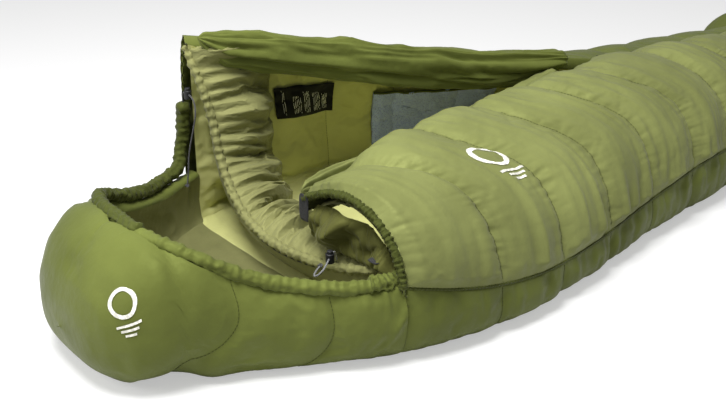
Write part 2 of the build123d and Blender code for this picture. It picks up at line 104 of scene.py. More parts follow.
HOOD_TAIL_LENGTH = 0.260
COLLAR_TAIL = [(0.4155, -0.174, 0.1365), (0.408, -0.179, 0.156), (0.394, -0.1904, 0.163),
               (0.366, -0.2124, 0.163), (0.350, -0.222, 0.157), (0.341, -0.216, 0.147),
               (0.344, -0.203, 0.141), (0.356, -0.194, 0.143), (0.370, -0.188, 0.146)]
COLLAR_TAIL_LENGTH = 0.152

# ---- fabric
GROUND = 0.001
CELL = 0.009
SEAMS = [0.616 + 0.165 * k for k in range(9)]
WRAP_STEPS = 4
# how far a cross seam leans towards the head, against the share across each panel
QUILT_LEAN = [(0.0, -0.130), (0.2, -0.122), (0.4, -0.078), (0.5, -0.042), (0.62, -0.010), (0.75, 0.0),
              (1.0, 0.0)]
QUILT_LEAN_SHARE = [(0.43, 0.0), (0.616, 1.0), (1.276, 1.0), (1.45, 0.45), (1.936, 0.25), (2.08, 0.0)]
BASE_LEAN = [(0.0, 0.0), (0.5, 0.020), (0.62, 0.027), (1.0, -0.040)]
BASE_LEAN_SHARE = [(0.43, 0.0), (0.616, 1.0), (1.936, 1.0), (2.08, 0.0)]
HOOD_LEAN = [(0.0, 0.085), (0.10, 0.080), (0.28, 0.0), (0.5, -0.012), (0.72, 0.0), (0.90, 0.080),
             (1.0, 0.085)]
HOOD_LEAN_SHARE = [(0.0, 0.0), (0.060, 0.0), (0.120, 0.9), (0.245, 0.9), (0.36, 0.35), (0.43, 0.0)]
HOOD_SEAMS = [0.120, 0.250]


def row(s, y, z):
    """A point of the bag, from its station, in the frame."""
    return (s - CROWN_TO_ORIGIN, y, z)


def rows(points):
    return [row(*p) for p in points]


def link_object(name, data):
    """New object in the scene."""
    obj = bpy.data.objects.new(name, data)
    bpy.context.scene.collection.objects.link(obj)
    return obj


# ---------------------------------------------------------------- camera, light and floor
CAMERA_PLACE = (-1.614, -1.350, 0.900)
CAMERA_AZIMUTH, CAMERA_ELEVATION = -40, 24
CAMERA_LENS, CAMERA_SENSOR = 49.6, 36
# name, place, target, size, power
LIGHTS = [("key", (-1.3, -0.35, 2.7), (-0.4, 0.1, 0.2), 1.3, 96),
          ("head", (-2.7, 0.3, 1.5), (-0.7, 0.0, 0.2), 1.2, 14)]
AMBIENT = 0.30
BACKDROP = 1.0
FLOOR_HALF = 30
FLOOR_GREY = 0.62
FLOOR_GLOW = 0.45


def make_camera():
    azimuth, elevation = math.radians(CAMERA_AZIMUTH), math.radians(CAMERA_ELEVATION)
    back = Vector((math.sin(azimuth) * math.cos(elevation), -math.cos(azimuth) * math.cos(elevation),
                   math.sin(elevation)))
    right = Vector((math.cos(azimuth), math.sin(azimuth), 0))
    up = back.cross(right)
    data = bpy.data.cameras.new("camera")
    data.sensor_width = CAMERA_SENSOR
    data.lens = CAMERA_LENS
    camera = link_object("camera", data)
    turn = Matrix((right, up, back)).transposed().to_4x4()
    camera.matrix_world = Matrix.Translation(CAMERA_PLACE) @ turn
    bpy.context.scene.camera = camera


def area_light(name, place, target, size, power):
    data = bpy.data.lights.new(name, "AREA")
    data.shape = "DISK"
    data.size = size
    data.energy = power
    light = link_object(name, data)
    light.location = place
    aim = Vector(target) - Vector(place)
    light.rotation_euler = aim.to_track_quat("-Z", "Y").to_euler()


def make_studio():
    """White surroundings that the camera sees brighter than they light the bag, two lamps and a floor."""
    scene = bpy.context.scene
    scene.view_settings.view_transform = "Standard"
    world = bpy.data.worlds.new("studio")
    scene.world = world
    world.use_nodes = True
    tree = world.node_tree
    background = tree.nodes["Background"]
    background.inputs["Color"].default_value = (1, 1, 1, 1)
    ray = tree.nodes.new("ShaderNodeLightPath")
    strength = tree.nodes.new("ShaderNodeMapRange")
    strength.inputs["To Min"].default_value = AMBIENT
    strength.inputs["To Max"].default_value = BACKDROP
    tree.links.new(ray.outputs["Is Camera Ray"], strength.inputs["Value"])
    tree.links.new(strength.outputs["Result"], background.inputs["Strength"])
    for lamp in LIGHTS:
        area_light(*lamp)
    mesh = bpy.data.meshes.new("floor")
    corners = ((-1, -1), (1, -1), (1, 1), (-1, 1))
    mesh.from_pydata([(a * FLOOR_HALF, b * FLOOR_HALF, 0) for a, b in corners], [], [(0, 1, 2, 3)])
    floor = link_object("floor", mesh)
    material = bpy.data.materials.new("floor")
    material.use_nodes = True
    shader = material.node_tree.nodes["Principled BSDF"]
    shader.inputs["Base Color"].default_value = (FLOOR_GREY, FLOOR_GREY, FLOOR_GREY, 1)
    shader.inputs["Roughness"].default_value = 0.9
    shader.inputs["Emission Color"].default_value = (1, 1, 1, 1)
    ray = material.node_tree.nodes.new("ShaderNodeLightPath")
    glow = material.node_tree.nodes.new("ShaderNodeMath")
    glow.operation = "MULTIPLY"
    glow.inputs[1].default_value = FLOOR_GLOW
    material.node_tree.links.new(ray.outputs["Is Camera Ray"], glow.inputs[0])
    material.node_tree.links.new(glow.outputs["Value"], shader.inputs["Emission Strength"])
    mesh.materials.append(material)


# ---------------------------------------------------------------- materials
class Nodes:
    """Short names for building one material's node tree."""

    def __init__(self, name):
        self.material = bpy.data.materials.new(name)
        self.material.use_nodes = True
        self.tree = self.material.node_tree
        self.shader = self.tree.nodes["Principled BSDF"]
        self.place = self.tree.nodes.new("ShaderNodeTexCoord").outputs["Object"]

    def add(self, kind, links=(), **values):
        node = self.tree.nodes.new(kind)
        for key, value in values.items():
            setattr(node, key, value)
        for socket, source in links:
            if isinstance(source, (int, float, tuple)):
                node.inputs[socket].default_value = source
            else:
                self.tree.links.new(source, node.inputs[socket])
        return node

    def noise(self, scale, detail=3.0):
        node = self.add("ShaderNodeTexNoise", [("Vector", self.place), ("Scale", scale), ("Detail", detail)])
        return node.outputs["Fac"]

    def ramp(self, source, stops):
        node = self.add("ShaderNodeValToRGB", [("Fac", source)])
        for i, (at, color) in enumerate(stops):
            stop = node.color_ramp.elements[i] if i < 2 else node.color_ramp.elements.new(at)
            stop.position = at
            stop.color = (*color, 1)
        return node.outputs["Color"]

    def wave(self, scale, direction):
        node = self.add("ShaderNodeTexWave", [("Vector", self.place), ("Scale", scale), ("Distortion", 0.6)],
                        bands_direction=direction)
        return node.outputs["Fac"]

    def math(self, operation, a, b):
        return self.add("ShaderNodeMath", [(0, a), (1, b)], operation=operation).outputs[0]

    def bump(self, height, strength, distance, under=None):
        links = [("Height", height), ("Strength", strength), ("Distance", distance)]
        if under is not None:
            links.append(("Normal", under))
        return self.add("ShaderNodeBump", links).outputs["Normal"]

    def link(self, source, socket):
        self.tree.links.new(source, self.shader.inputs[socket])

    def fixed(self, **values):
        for key, value in values.items():
            self.shader.inputs[key.replace("_", " ")].default_value = value


def shade(color, share):
    return tuple(c * share for c in color)


def fabric(name, color, roughness=0.42, weave=900.0, crumple=0.25, spread=0.22, sheen=0.06):
    """Woven cloth: uneven dye, a fine plain weave, soft crumpling and a slight sheen."""
    n = Nodes(name)
    stops = [(0.28, shade(color, 1 - spread)), (0.72, shade(color, 1 + spread))]
    n.link(n.ramp(n.noise(5.5, 4.0), stops), "Base Color")
    low, high = roughness - 0.05, roughness + 0.07
    n.link(n.ramp(n.noise(26.0), [(0.3, (low,) * 3), (0.7, (high,) * 3)]), "Roughness")
    threads = n.math("MULTIPLY", n.wave(weave, "X"), n.wave(weave, "Z"))
    fine = n.bump(threads, 0.12, 0.0004)
    crinkle = n.bump(n.noise(62.0, 5.0), crumple, 0.004, fine)
    n.link(n.bump(n.noise(17.0, 3.0), crumple, 0.010, crinkle), "Normal")
    n.fixed(Sheen_Weight=sheen, Sheen_Roughness=0.4, Specular_IOR_Level=0.36,
            Specular_Tint=(*shade(color, 2.2), 1))
    return n.material


def webbing(name, color, pitch=520.0):
    """Coarse ribbed tape."""
    n = Nodes(name)
    rib = n.wave(pitch, "DIAGONAL")
    n.link(n.ramp(rib, [(0.2, shade(color, 0.6)), (0.8, shade(color, 1.5))]), "Base Color")
    n.link(n.bump(n.math("ADD", rib, n.noise(400.0)), 0.5, 0.0006), "Normal")
    n.fixed(Roughness=0.78, Sheen_Weight=0.15)
    return n.material


def netting(name, color):
    """Knitted mesh: rows of small dark holes between paler threads."""
    n = Nodes(name)
    cells = n.add("ShaderNodeTexVoronoi", [("Vector", n.place), ("Scale", 380.0)])
    distance = cells.outputs["Distance"]
    n.link(n.ramp(distance, [(0.18, shade(color, 0.35)), (0.48, shade(color, 1.35))]), "Base Color")
    n.link(n.bump(distance, 0.7, 0.0008), "Normal")
    n.fixed(Roughness=0.62, Sheen_Weight=0.3)
    return n.material


def moulded(name, color, roughness=0.38):
    """Moulded nylon: faint texture, scuffed a little paler in places."""
    n = Nodes(name)
    n.link(n.ramp(n.noise(150.0, 5.0), [(0.45, color), (0.8, shade(color, 2.2))]), "Base Color")
    dull = [(0.3, (roughness - 0.08,) * 3), (0.8, (roughness + 0.2,) * 3)]
    n.link(n.ramp(n.noise(90.0), dull), "Roughness")
    n.link(n.bump(n.noise(1400.0), 0.2, 0.0003), "Normal")
    return n.material


def metal(name, color, roughness=0.35):
    """Painted or plated metal with fine scratches."""
    n = Nodes(name)
    n.link(n.ramp(n.noise(240.0, 6.0), [(0.5, color), (0.78, shade(color, 2.6))]), "Base Color")
    n.link(n.bump(n.noise(900.0, 6.0), 0.25, 0.0002), "Normal")
    n.fixed(Metallic=0.85, Roughness=roughness)
    return n.material


def braid(name, color, fleck):
    """Braided cord: a dark sheath with flecks of a paler yarn."""
    n = Nodes(name)
    strands = n.wave(700.0, "DIAGONAL")
    n.link(n.ramp(strands, [(0.35, color), (0.85, fleck)]), "Base Color")
    n.link(n.bump(strands, 0.6, 0.0004), "Normal")
    n.fixed(Roughness=0.6, Sheen_Weight=0.2)
    return n.material


OLIVE = (0.130, 0.152, 0.036)
# painted light: a lighter copy of the shell's olive, for the quilt's lit top
OLIVE_PAINTED_LIT = (0.212, 0.232, 0.078)
OLIVE_DARK = (0.070, 0.082, 0.020)
TAN_OLIVE = (0.310, 0.312, 0.125)
BLACK = (0.012, 0.012, 0.014)
# painted light: the net's slate raised far above its own grey to lift the pocket out of the flap's shade
SLATE_PAINTED_LIT = (0.400, 0.475, 0.880)
BONE = (0.72, 0.71, 0.62)
SILVER = (0.46, 0.47, 0.48)

MATERIALS = {
    "shell": fabric("shell_nylon", OLIVE),
    # painted light: the shell cloth made lighter for the quilt and its edge, which lie on top
    "shell_top": fabric("shell_painted_lit_nylon", OLIVE_PAINTED_LIT),
    "lining": fabric("lining_polyester", TAN_OLIVE, roughness=0.46, spread=0.16),
    # painted light: the lining's colour almost doubled for the far wall's lit inner face
    "lining_painted_lit": fabric("lining_painted_lit_polyester", shade(TAN_OLIVE, 1.9), roughness=0.46, spread=0.16),
    # painted shade: the lining darkened for the inside of the hood
    "lining_painted_shade_hood": fabric("lining_painted_shade_hood_polyester", shade(TAN_OLIVE, 0.62), roughness=0.42, spread=0.2),
    # painted shade: the lining darkened for the gathered draft collar
    "lining_painted_shade_collar": fabric("lining_painted_shade_collar_polyester", shade(TAN_OLIVE, 0.74), roughness=0.42, spread=0.2),
    # painted shade: lining cloth coloured dark olive for the shade inside the quilt's neck edge
    "facing": fabric("facing_painted_shade_polyester", (0.105, 0.108, 0.030), roughness=0.34, crumple=0.3),
    "hem": fabric("hem_nylon", OLIVE_DARK, crumple=0.5),
    # the pocket net's colour is brightened, painted light for its place in the flap's shade
    "mesh": netting("pocket_mesh", SLATE_PAINTED_LIT),
    "binding": webbing("binding_tape", OLIVE_DARK),
    "label": fabric("label_satin", BLACK, roughness=0.5, spread=0.3, crumple=0.1),
    "print": moulded("print_ink", BONE, roughness=0.6),
    "hook_tape": webbing("hook_tape", BLACK, 900.0),
    "zip_tape": webbing("zip_tape", BLACK),
    "zip_coil": moulded("zip_coil", BLACK),
    "zip_metal": metal("zip_metal", (0.06, 0.06, 0.065)),
    "grip": moulded("grip_rubber", BLACK, 0.7),
    "cord": braid("cord_braid", BLACK, (0.10, 0.10, 0.11)),
    "reflective_cord": braid("reflective_cord", (0.05, 0.05, 0.055), SILVER),
    "lock_plastic": moulded("lock_plastic", BLACK),
    "spring_steel": metal("spring_steel", (0.55, 0.55, 0.56), 0.22),
    "thread": fabric("thread", shade(OLIVE_DARK, 0.7), crumple=0.0),
}


# ---------------------------------------------------------------- curves and noise
def ease(t):
    """Share that starts and stops gently."""
    return t * t * (3 - 2 * t)


def rise(value, start, over):
    """Share from 0 to 1 as a value climbs from start over a length."""
    return np.clip((value - start) / over, 0, 1)


def unit(v):
    return v / np.maximum(np.linalg.norm(v, axis=-1, keepdims=True), 1e-9)


def smooth(s, knots):
    """Value at station s on a smooth curve through (station, value) knots."""
    at, value = np.array(knots, float).T
    slope = np.gradient(value, at)
    i = np.clip(np.searchsorted(at, s) - 1, 0, len(at) - 2)
    span = at[i + 1] - at[i]
    t = rise(s, at[i], span)
    return ((1 + 2 * t) * (1 - t) ** 2 * value[i] + t * (1 - t) ** 2 * span * slope[i]
            + ease(t) * value[i + 1] + t * t * (t - 1) * span * slope[i + 1])


def on_line(s, line):
    """(y, z) where a straight line in space crosses station s."""
    (s0, y0, z0), (s1, y1, z1) = line
    t = (s - s0) / (s1 - s0)
    return y0 + (y1 - y0) * t, z0 + (z1 - z0) * t


def run_along(line):
    """Length from the start of a line to each of its points."""
    return np.concatenate([[0], np.cumsum(np.linalg.norm(np.diff(line, axis=0), axis=1))])


def points_at(at, run, line):
    """Points of a line at given lengths from its start."""
    return np.stack([np.interp(at, run, line[:, k]) for k in range(line.shape[1])], axis=-1)


def even(points, count):
    """The same line with count points, evenly spaced along it."""
    p = np.asarray(points, float)
    run = run_along(p)
    return points_at(np.linspace(0, run[-1], count), run, p)


def rounded(points, count, rounds=4):
    """Evenly spaced points on the smooth curve inside a control polygon."""
    p = np.asarray(points, float)
    for _ in range(rounds):
        a, b = 0.75 * p[:-1] + 0.25 * p[1:], 0.25 * p[:-1] + 0.75 * p[1:]
        inner = np.empty((2 * len(a), p.shape[1]))
        inner[0::2], inner[1::2] = a, b
        p = np.vstack([p[:1], inner[1:-1], p[-1:]])
    return even(p, count)


LATTICE = 128


def lattice(a, b, seed):
    """Smooth noise from -1 to 1, one cell per unit of a and b."""
    table = np.random.default_rng(seed).uniform(-1, 1, (LATTICE, LATTICE))
    a, b = np.broadcast_arrays(a, b)
    i, j = np.floor(a).astype(int), np.floor(b).astype(int)
    u, v = a - i, b - j
    u, v = ease(u), ease(v)
    i0, i1, j0, j1 = i % LATTICE, (i + 1) % LATTICE, j % LATTICE, (j + 1) % LATTICE
    near = table[i0, j0] * (1 - u) + table[i1, j0] * u
    far = table[i0, j1] * (1 - u) + table[i1, j1] * u
    return near * (1 - v) + far * v


def creases(a, b, seed):
    """Sharp-edged folds from -1 to 1: ridges of the noise, at two sizes."""
    big = 1 - 2 * np.abs(lattice(a, b, seed))
    small = 1 - 2 * np.abs(lattice(2.1 * a, 2.1 * b, seed + 1))
    return 0.65 * big + 0.35 * small


# ---------------------------------------------------------------- outlines, (y, z) at a station
SHOULDER_Z = 0.075


def base_outline(s):
    """From the near side seam, under the bag and up the far wall to its zip edge."""
    w, seam = smooth(s, HALF_WIDTH), smooth(s, SEAM_HEIGHT)
    open_part = s < ZIP_START
    top_y, top_z = on_line(s, TOP_LINE if open_part else ZIP_LINE)
    if not open_part:
        top_y = TAPE_EDGE
    points = [(0.006 - w, seam), (-w, seam / 2), (0.014 - w, 0.016), (0.050 - w, 0.001), (-w / 3, 0.001),
              (w / 3, 0.001), (w - 0.050, 0.001), (w - 0.012, 0.018), (w, SHOULDER_Z)]
    for angle in (25, 50, 72, 90):
        y = top_y + (w - top_y) * math.cos(math.radians(angle))
        points.append((y, SHOULDER_Z + (top_z - SHOULDER_Z) * math.sin(math.radians(angle))))
    return points


def quilt_outline(s):
    """From the zip edge over the crest to the near side seam."""
    w, seam = smooth(s, HALF_WIDTH), smooth(s, SEAM_HEIGHT) + SEAM_GAP
    crest_y, crest_z = smooth(s, CREST_SIDE), smooth(s, CREST_HEIGHT)
    edge_y, edge_z = on_line(s, QUILT_LINE if s < ZIP_START else ZIP_LINE)
    if s >= ZIP_START:
        edge_y = -TAPE_EDGE
    points = [(edge_y, edge_z), ((edge_y + crest_y) / 2, edge_z + 0.7 * (crest_z - edge_z))]
    for angle in (90, 66, 44, 22, 0):
        y = crest_y - (crest_y + w - 0.006) * math.cos(math.radians(angle))
        points.append((y, seam + (crest_z - seam) * math.sin(math.radians(angle))))
    return points


def neck_outline(s):
    """From the near rim under the hood to the far rim."""
    w, rim, lean = smooth(s, HALF_WIDTH), smooth(s, RIM_HEIGHT), smooth(s, RIM_LEAN)
    near = [(lean - w, rim), (0.003 - w, 0.78 * rim), (-w, rim / 2), (0.014 - w, 0.016),
            (0.050 - w, 0.001), (-w / 3, 0.001)]
    return near + [(-y, z) for y, z in reversed(near)]


def ring(station, gap, count):
    """Rounded ring of a closed end, open at its top by gap to each side of the middle."""
    _, half, low, high = station
    middle, half_height = (low + high) / 2, (high - low) / 2
    angle = np.linspace(0, 2 * math.pi, 241)
    c, n = -np.sin(angle), np.cos(angle)
    y = half * np.sign(c) * np.abs(c) ** SUPER
    z = middle + half_height * np.sign(n) * np.abs(n) ** SUPER
    keep = ~((n > 0) & (np.abs(y) < gap))
    points = np.stack([y, np.maximum(z, GROUND)], axis=1)
    return even(points[keep] if gap > 0 else points, count)


# ---------------------------------------------------------------- grids
def normals(grid):
    """Unit normals of a grid, on the side that the rows' and columns' order gives."""
    return unit(np.cross(np.gradient(grid, axis=0), np.gradient(grid, axis=1)))


def above(grid, low=GROUND):
    """The same grid, with nothing left lower than low."""
    grid[..., 2] = np.maximum(grid[..., 2], low)
    return grid


def off_ground(grid):
    """Share from 0 where a grid lies on the ground to 1 where it is clear of it."""
    return rise(grid[..., 2], 0.006, 0.03)


def refine(grid):
    """Twice as many cells each way, on a smooth curve through the points."""
    for axis in (0, 1):
        g = np.moveaxis(grid, axis, 0)
        before, after = 2 * g[:1] - g[1:2], 2 * g[-1:] - g[-2:-1]
        e = np.concatenate([before, g, after])
        middle = (9 * (e[1:-2] + e[2:-1]) - e[:-3] - e[3:]) / 16
        out = np.empty((2 * len(g) - 1, *g.shape[1:]))
        out[0::2], out[1::2] = g, middle
        grid = np.moveaxis(out, 0, axis)
    return grid


def refine_values(values):
    """refine() for one number at each point."""
    return refine(values[..., None])[..., 0]


def shares(grid):
    """Each point's share along the rows and along the columns."""
    a = np.linspace(0, 1, grid.shape[0])[:, None]
    b = np.linspace(0, 1, grid.shape[1])[None, :]
    return np.broadcast_arrays(a, b)


def wrap(grid, inner, bulge, axis, ends=(True, True)):
    """Rolls a grid's edges round to the inner grid, so that a padded edge is round."""
    g, q = np.moveaxis(grid, axis, 0), np.moveaxis(inner, axis, 0)
    turn = np.linspace(0, math.pi, WRAP_STEPS + 1)[1:]
    parts = [g]
    mirror = [q]
    for end, use in zip((0, -1), ends):
        if not use:
            continue
        beside = 1 if end == 0 else -2
        out = unit(g[end] - g[beside])
        for strips, near, far in ((parts, g[end], q[end]), (mirror, q[end], g[end])):
            turned = [near * (1 + math.cos(t)) / 2 + far * (1 - math.cos(t)) / 2 + out * bulge * math.sin(t)
                      for t in turn]
            if end == 0:
                strips.insert(0, np.array(turned[::-1]))
            else:
                strips.append(np.array(turned))
    return np.moveaxis(np.concatenate(parts), 0, axis), np.moveaxis(np.concatenate(mirror), 0, axis)


def padded_skin(outer, inner, edge_bulge, head_bulge):
    """Outer grid rolled round to the inner one at both side edges and at its head end."""
    edge, _ = wrap(outer, inner, edge_bulge, 1)
    _, mirror = wrap(inner, outer, edge_bulge, 1)
    head, _ = wrap(edge, mirror, head_bulge, 0, (True, False))
    return head


def faces_of(shape, close_columns=False):
    """Quads between a grid's rows and columns."""
    count, columns = shape[:2]
    index = np.arange(count * columns).reshape(count, columns)
    if close_columns:
        index = np.hstack([index, index[:, :1]])
    a, b, c, d = index[:-1, :-1], index[1:, :-1], index[1:, 1:], index[:-1, 1:]
    return np.stack([a, b, c, d], axis=-1).reshape(-1, 4).tolist()


def grid_object(name, grid, close=False):
    mesh = bpy.data.meshes.new(name)
    mesh.from_pydata(grid.reshape(-1, 3).tolist(), [], faces_of(grid.shape, close))
    return link_object(name, mesh), mesh


# distance within which the rows at a closed end's pole are welded
POLE_WELD = 0.0006


def piece(name, grid, material, body="bag", close=False, stands_for=(), weld=1e-6):
    """Makes a grid a smooth mesh that rides on a body and stands for CAD nodes."""
    obj, mesh = grid_object(name, grid, close)
    work = bmesh.new()
    work.from_mesh(mesh)
    bmesh.ops.remove_doubles(work, verts=work.verts, dist=weld)
    work.to_mesh(mesh)
    work.free()
    mesh.polygons.foreach_set("use_smooth", [True] * len(mesh.polygons))
    mesh.materials.append(MATERIALS[material])
    if body is not None:
        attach(obj, body)
    if stands_for:
        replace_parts(obj, *stands_for)
    return obj


def loose_piece(name, verts, faces, material, body="bag", rounded_shading=True):
    """One mesh of many small bits that rides on a body."""
    mesh = bpy.data.meshes.new(name)
    mesh.from_pydata([tuple(v) for v in verts], [], faces)
    obj = link_object(name, mesh)
    if rounded_shading:
        mesh.polygons.foreach_set("use_smooth", [True] * len(mesh.polygons))
    mesh.materials.append(MATERIALS[material])
    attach(obj, body)
    return obj


CLOTH = {"quality": 6, "mass": 0.12, "tension_stiffness": 18, "compression_stiffness": 18,
         "shear_stiffness": 6, "bending_stiffness": 0.08, "air_damping": 3, "use_pressure": True}
SWELL_FRAMES = 18


def swell(grid, held, out, pressure, excess, cap):
    """Grid after a cloth simulation: held points stay, and the rest puffs to its out side."""
    obj, mesh = grid_object("cloth", grid)
    scene = bpy.context.scene
    group = obj.vertex_groups.new(name="held")
    weight = held.reshape(-1)
    for level in np.unique(np.round(weight, 1)):
        if level > 0:
            group.add(np.flatnonzero(np.round(weight, 1) == level).tolist(), float(level), "REPLACE")
    modifier = obj.modifiers.new("Cloth", "CLOTH")
    cloth = modifier.settings
    for key, value in CLOTH.items():
        setattr(cloth, key, value)
    cloth.uniform_pressure_force = pressure * np.sign((normals(grid) * out).sum())
    cloth.shrink_min = -excess
    cloth.shrink_max = -excess
    cloth.vertex_group_mass = "held"
    cloth.effector_weights.gravity = 0
    modifier.collision_settings.use_collision = False
    modifier.point_cache.frame_start = 1
    modifier.point_cache.frame_end = SWELL_FRAMES
    for step in range(1, SWELL_FRAMES + 1):
        scene.frame_set(step)
    settled = obj.evaluated_get(bpy.context.evaluated_depsgraph_get()).data
    moved = np.empty(len(settled.vertices) * 3)
    settled.vertices.foreach_get("co", moved)
    bpy.data.objects.remove(obj)
    bpy.data.meshes.remove(mesh)
    scene.frame_set(1)
    step = moved.reshape(grid.shape) - grid
    length = np.linalg.norm(step, axis=2, keepdims=True)
    return above(grid + step * np.minimum(1, cap / np.maximum(length, 1e-9)))


# ---------------------------------------------------------------- cords
def cord_piece(name, route, node, material):
    """Loose cord on the bag along a route."""
    points = rows(route)
    curve = bpy.data.curves.new(name, "CURVE")
    curve.dimensions = "3D"
    spline = curve.splines.new("NURBS")
    spline.points.add(len(points) - 1)
    for point, place in zip(spline.points, points):
        point.co = (*place, 1)
    spline.order_u = 3
    spline.use_endpoint_u = True
    spline.resolution_u = 8
    curve.bevel_depth = CORD_RADIUS
    curve.bevel_resolution = 4
    curve.use_fill_caps = True
    obj = link_object(name, curve)
    curve.materials.append(MATERIALS[material])
    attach(obj, "bag")
    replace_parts(obj, node)


def tube_grid(route, radius, count, around):
    """Grid round a smooth route; radius is a function of (share along, angle)."""
    line = rounded(rows(route), count)
    ahead = np.gradient(line, axis=0)
    ahead /= np.linalg.norm(ahead, axis=1, keepdims=True)
    side = np.cross(ahead, (0, 0, 1.0))
    weak = np.linalg.norm(side, axis=1) < 0.35
    side[weak] = np.cross(ahead[weak], (1.0, 0, 0))
    for i in range(1, count):
        side[i] = side[i - 1] - ahead[i] * side[i - 1].dot(ahead[i])
        side[i] /= np.linalg.norm(side[i])
    up = np.cross(side, ahead)
    share = np.linspace(0, 1, count)[:, None]
    angle = np.linspace(0, 2 * math.pi, around, endpoint=False)[None, :]
    r = radius(*np.broadcast_arrays(share, angle))
    return line[:, None] + r[..., None] * (np.cos(angle)[..., None] * side[:, None]
                                           + np.sin(angle)[..., None] * up[:, None])


def close_ends(radius):
    """The same radius, drawn in to a point at both ends."""
    def drawn_in(share, angle):
        end = np.clip(np.minimum(share, 1 - share) / 0.012, 0, 1)
        return radius(share, angle) * np.sqrt(1 - (1 - end) ** 2) + 1e-5
    return drawn_in


def roll(name, route, radius, count, around, material, stands_for=()):
    """Gathered roll along a route, drawn in to a point at both ends."""
    grid = tube_grid(route, close_ends(radius), count, around)
    return piece(name, grid, material, close=True, stands_for=stands_for)


def knot(name, centre):
    """Overhand knot: one cord turned three times round itself."""
    turns = np.linspace(0, 2 * math.pi, 60)
    reach = 0.0026
    place = np.stack([np.sin(turns) + 2 * np.sin(2 * turns), np.cos(turns) - 2 * np.cos(2 * turns),
                      -np.sin(3 * turns)], axis=1) * reach / 2
    s, y, z = centre
    route = [(s + p[0], y + p[1], z + p[2]) for p in place]
    return piece(name, tube_grid(route, lambda a, t: 0.0013 + 0 * a, 90, 10), "cord", close=True)


def make_cords():
    tails = (("hood", HOOD_TAIL, HOOD_TAIL_LENGTH, "cord"),
             ("collar", COLLAR_TAIL, COLLAR_TAIL_LENGTH, "reflective_cord"))
    knots = [knot(f"{at}_cord_knot", route[-1]) for at, route, _, _ in tails]
    for end, (at, route, length, material) in zip(knots, tails):
        cord_piece(f"{at}_cord", route, f"{at}_cord_tail", material)


# ---------------------------------------------------------------- padded panels
def seam_rows(seams, start, end):
    """Stations about CELL apart, with one exactly on each seam."""
    marks = [start, *(s for s in seams if start < s < end), end]
    out = [start]
    for a, b in zip(marks, marks[1:]):
        out += list(np.linspace(a, b, max(2, int(round((b - a) / CELL)) + 1))[1:])
    return np.array(out)


def leaning(stations, sections, lean, lean_share):
    """Grid whose rows lean: sections maps a station to its (y, z) points, and lean its shift."""
    dense = np.linspace(stations[0], stations[-1], 2 * len(stations))
    solid = np.array([sections(s) for s in dense])
    columns = solid.shape[1]
    across = smooth(np.linspace(0, 1, columns), lean)
    share = np.interp(stations, *np.array(lean_share).T)
    grid = np.empty((len(stations), columns, 3))
    for j in range(columns):
        s = stations + across[j] * share
        grid[:, j, 0] = s - CROWN_TO_ORIGIN
        for k in (0, 1):
            grid[:, j, k + 1] = np.interp(s, dense, solid[:, j, k])
    return grid


def to_seam(stations, seams, columns):
    """Each row's distance to its nearest seam, as a grid."""
    d = np.abs(np.asarray(stations)[:, None] - np.asarray(seams)[None, :]).min(axis=1)
    return np.repeat(d[:, None], columns, axis=1)


def held_weight(distance, edge):
    """Points on a seam or an edge are held."""
    return np.where((distance < 0.3 * CELL) | (edge < 1), 1.0, 0.0)


def at_index(grid, i, j):
    """Points of a grid at fractional rows and columns."""
    i, j = np.clip(i, 0, grid.shape[0] - 1.001), np.clip(j, 0, grid.shape[1] - 1.001)
    a, b = np.floor(i).astype(int), np.floor(j).astype(int)
    u, v = (i - a)[..., None], (j - b)[..., None]
    return ((grid[a, b] * (1 - u) + grid[a + 1, b] * u) * (1 - v)
            + (grid[a, b + 1] * (1 - u) + grid[a + 1, b + 1] * u) * v)


def facing(grid, toward):
    """Unit normals of a grid, turned to the side of toward at the grid's middle row."""
    n = normals(grid)
    i, j, direction = toward
    return n * np.sign(n[i, j].dot(np.array(direction, float)))


def edge_steps(grid):
    """Cells between each point and the grid's nearest edge."""
    i = np.arange(grid.shape[0])[:, None]
    j = np.arange(grid.shape[1])[None, :]
    return np.minimum(np.minimum(i, grid.shape[0] - 1 - i), np.minimum(j, grid.shape[1] - 1 - j))


def edge_fade(grid, cells=3.0):
    return np.clip(edge_steps(grid) / cells, 0, 1)


# panels as finished: grid, normals, station and share across at each point
PANELS = {}
QUILT_PUFF, QUILT_GATHER, QUILT_GIRTH, QUILT_NECK_FOLD = 0.018, 0.0185, 0.0040, 0.0050
BASE_PUFF, BASE_GATHER, BASE_FOLD = 0.009, 0.0065, 0.0035
LINING_PUFF, LINING_FOLD = 0.008, 0.0050
HOOD_PUFF, HOOD_PUCKER, HOOD_FOLD = 0.006, 0.0035, 0.0055
FOOT_PUFF, FOOT_PLEAT = 0.009, 0.007


def seam_indices(station, seams=SEAMS):
    """Row numbers of the seams in a refined grid."""
    return [int(np.abs(station[:, 0] - s).argmin()) for s in seams]


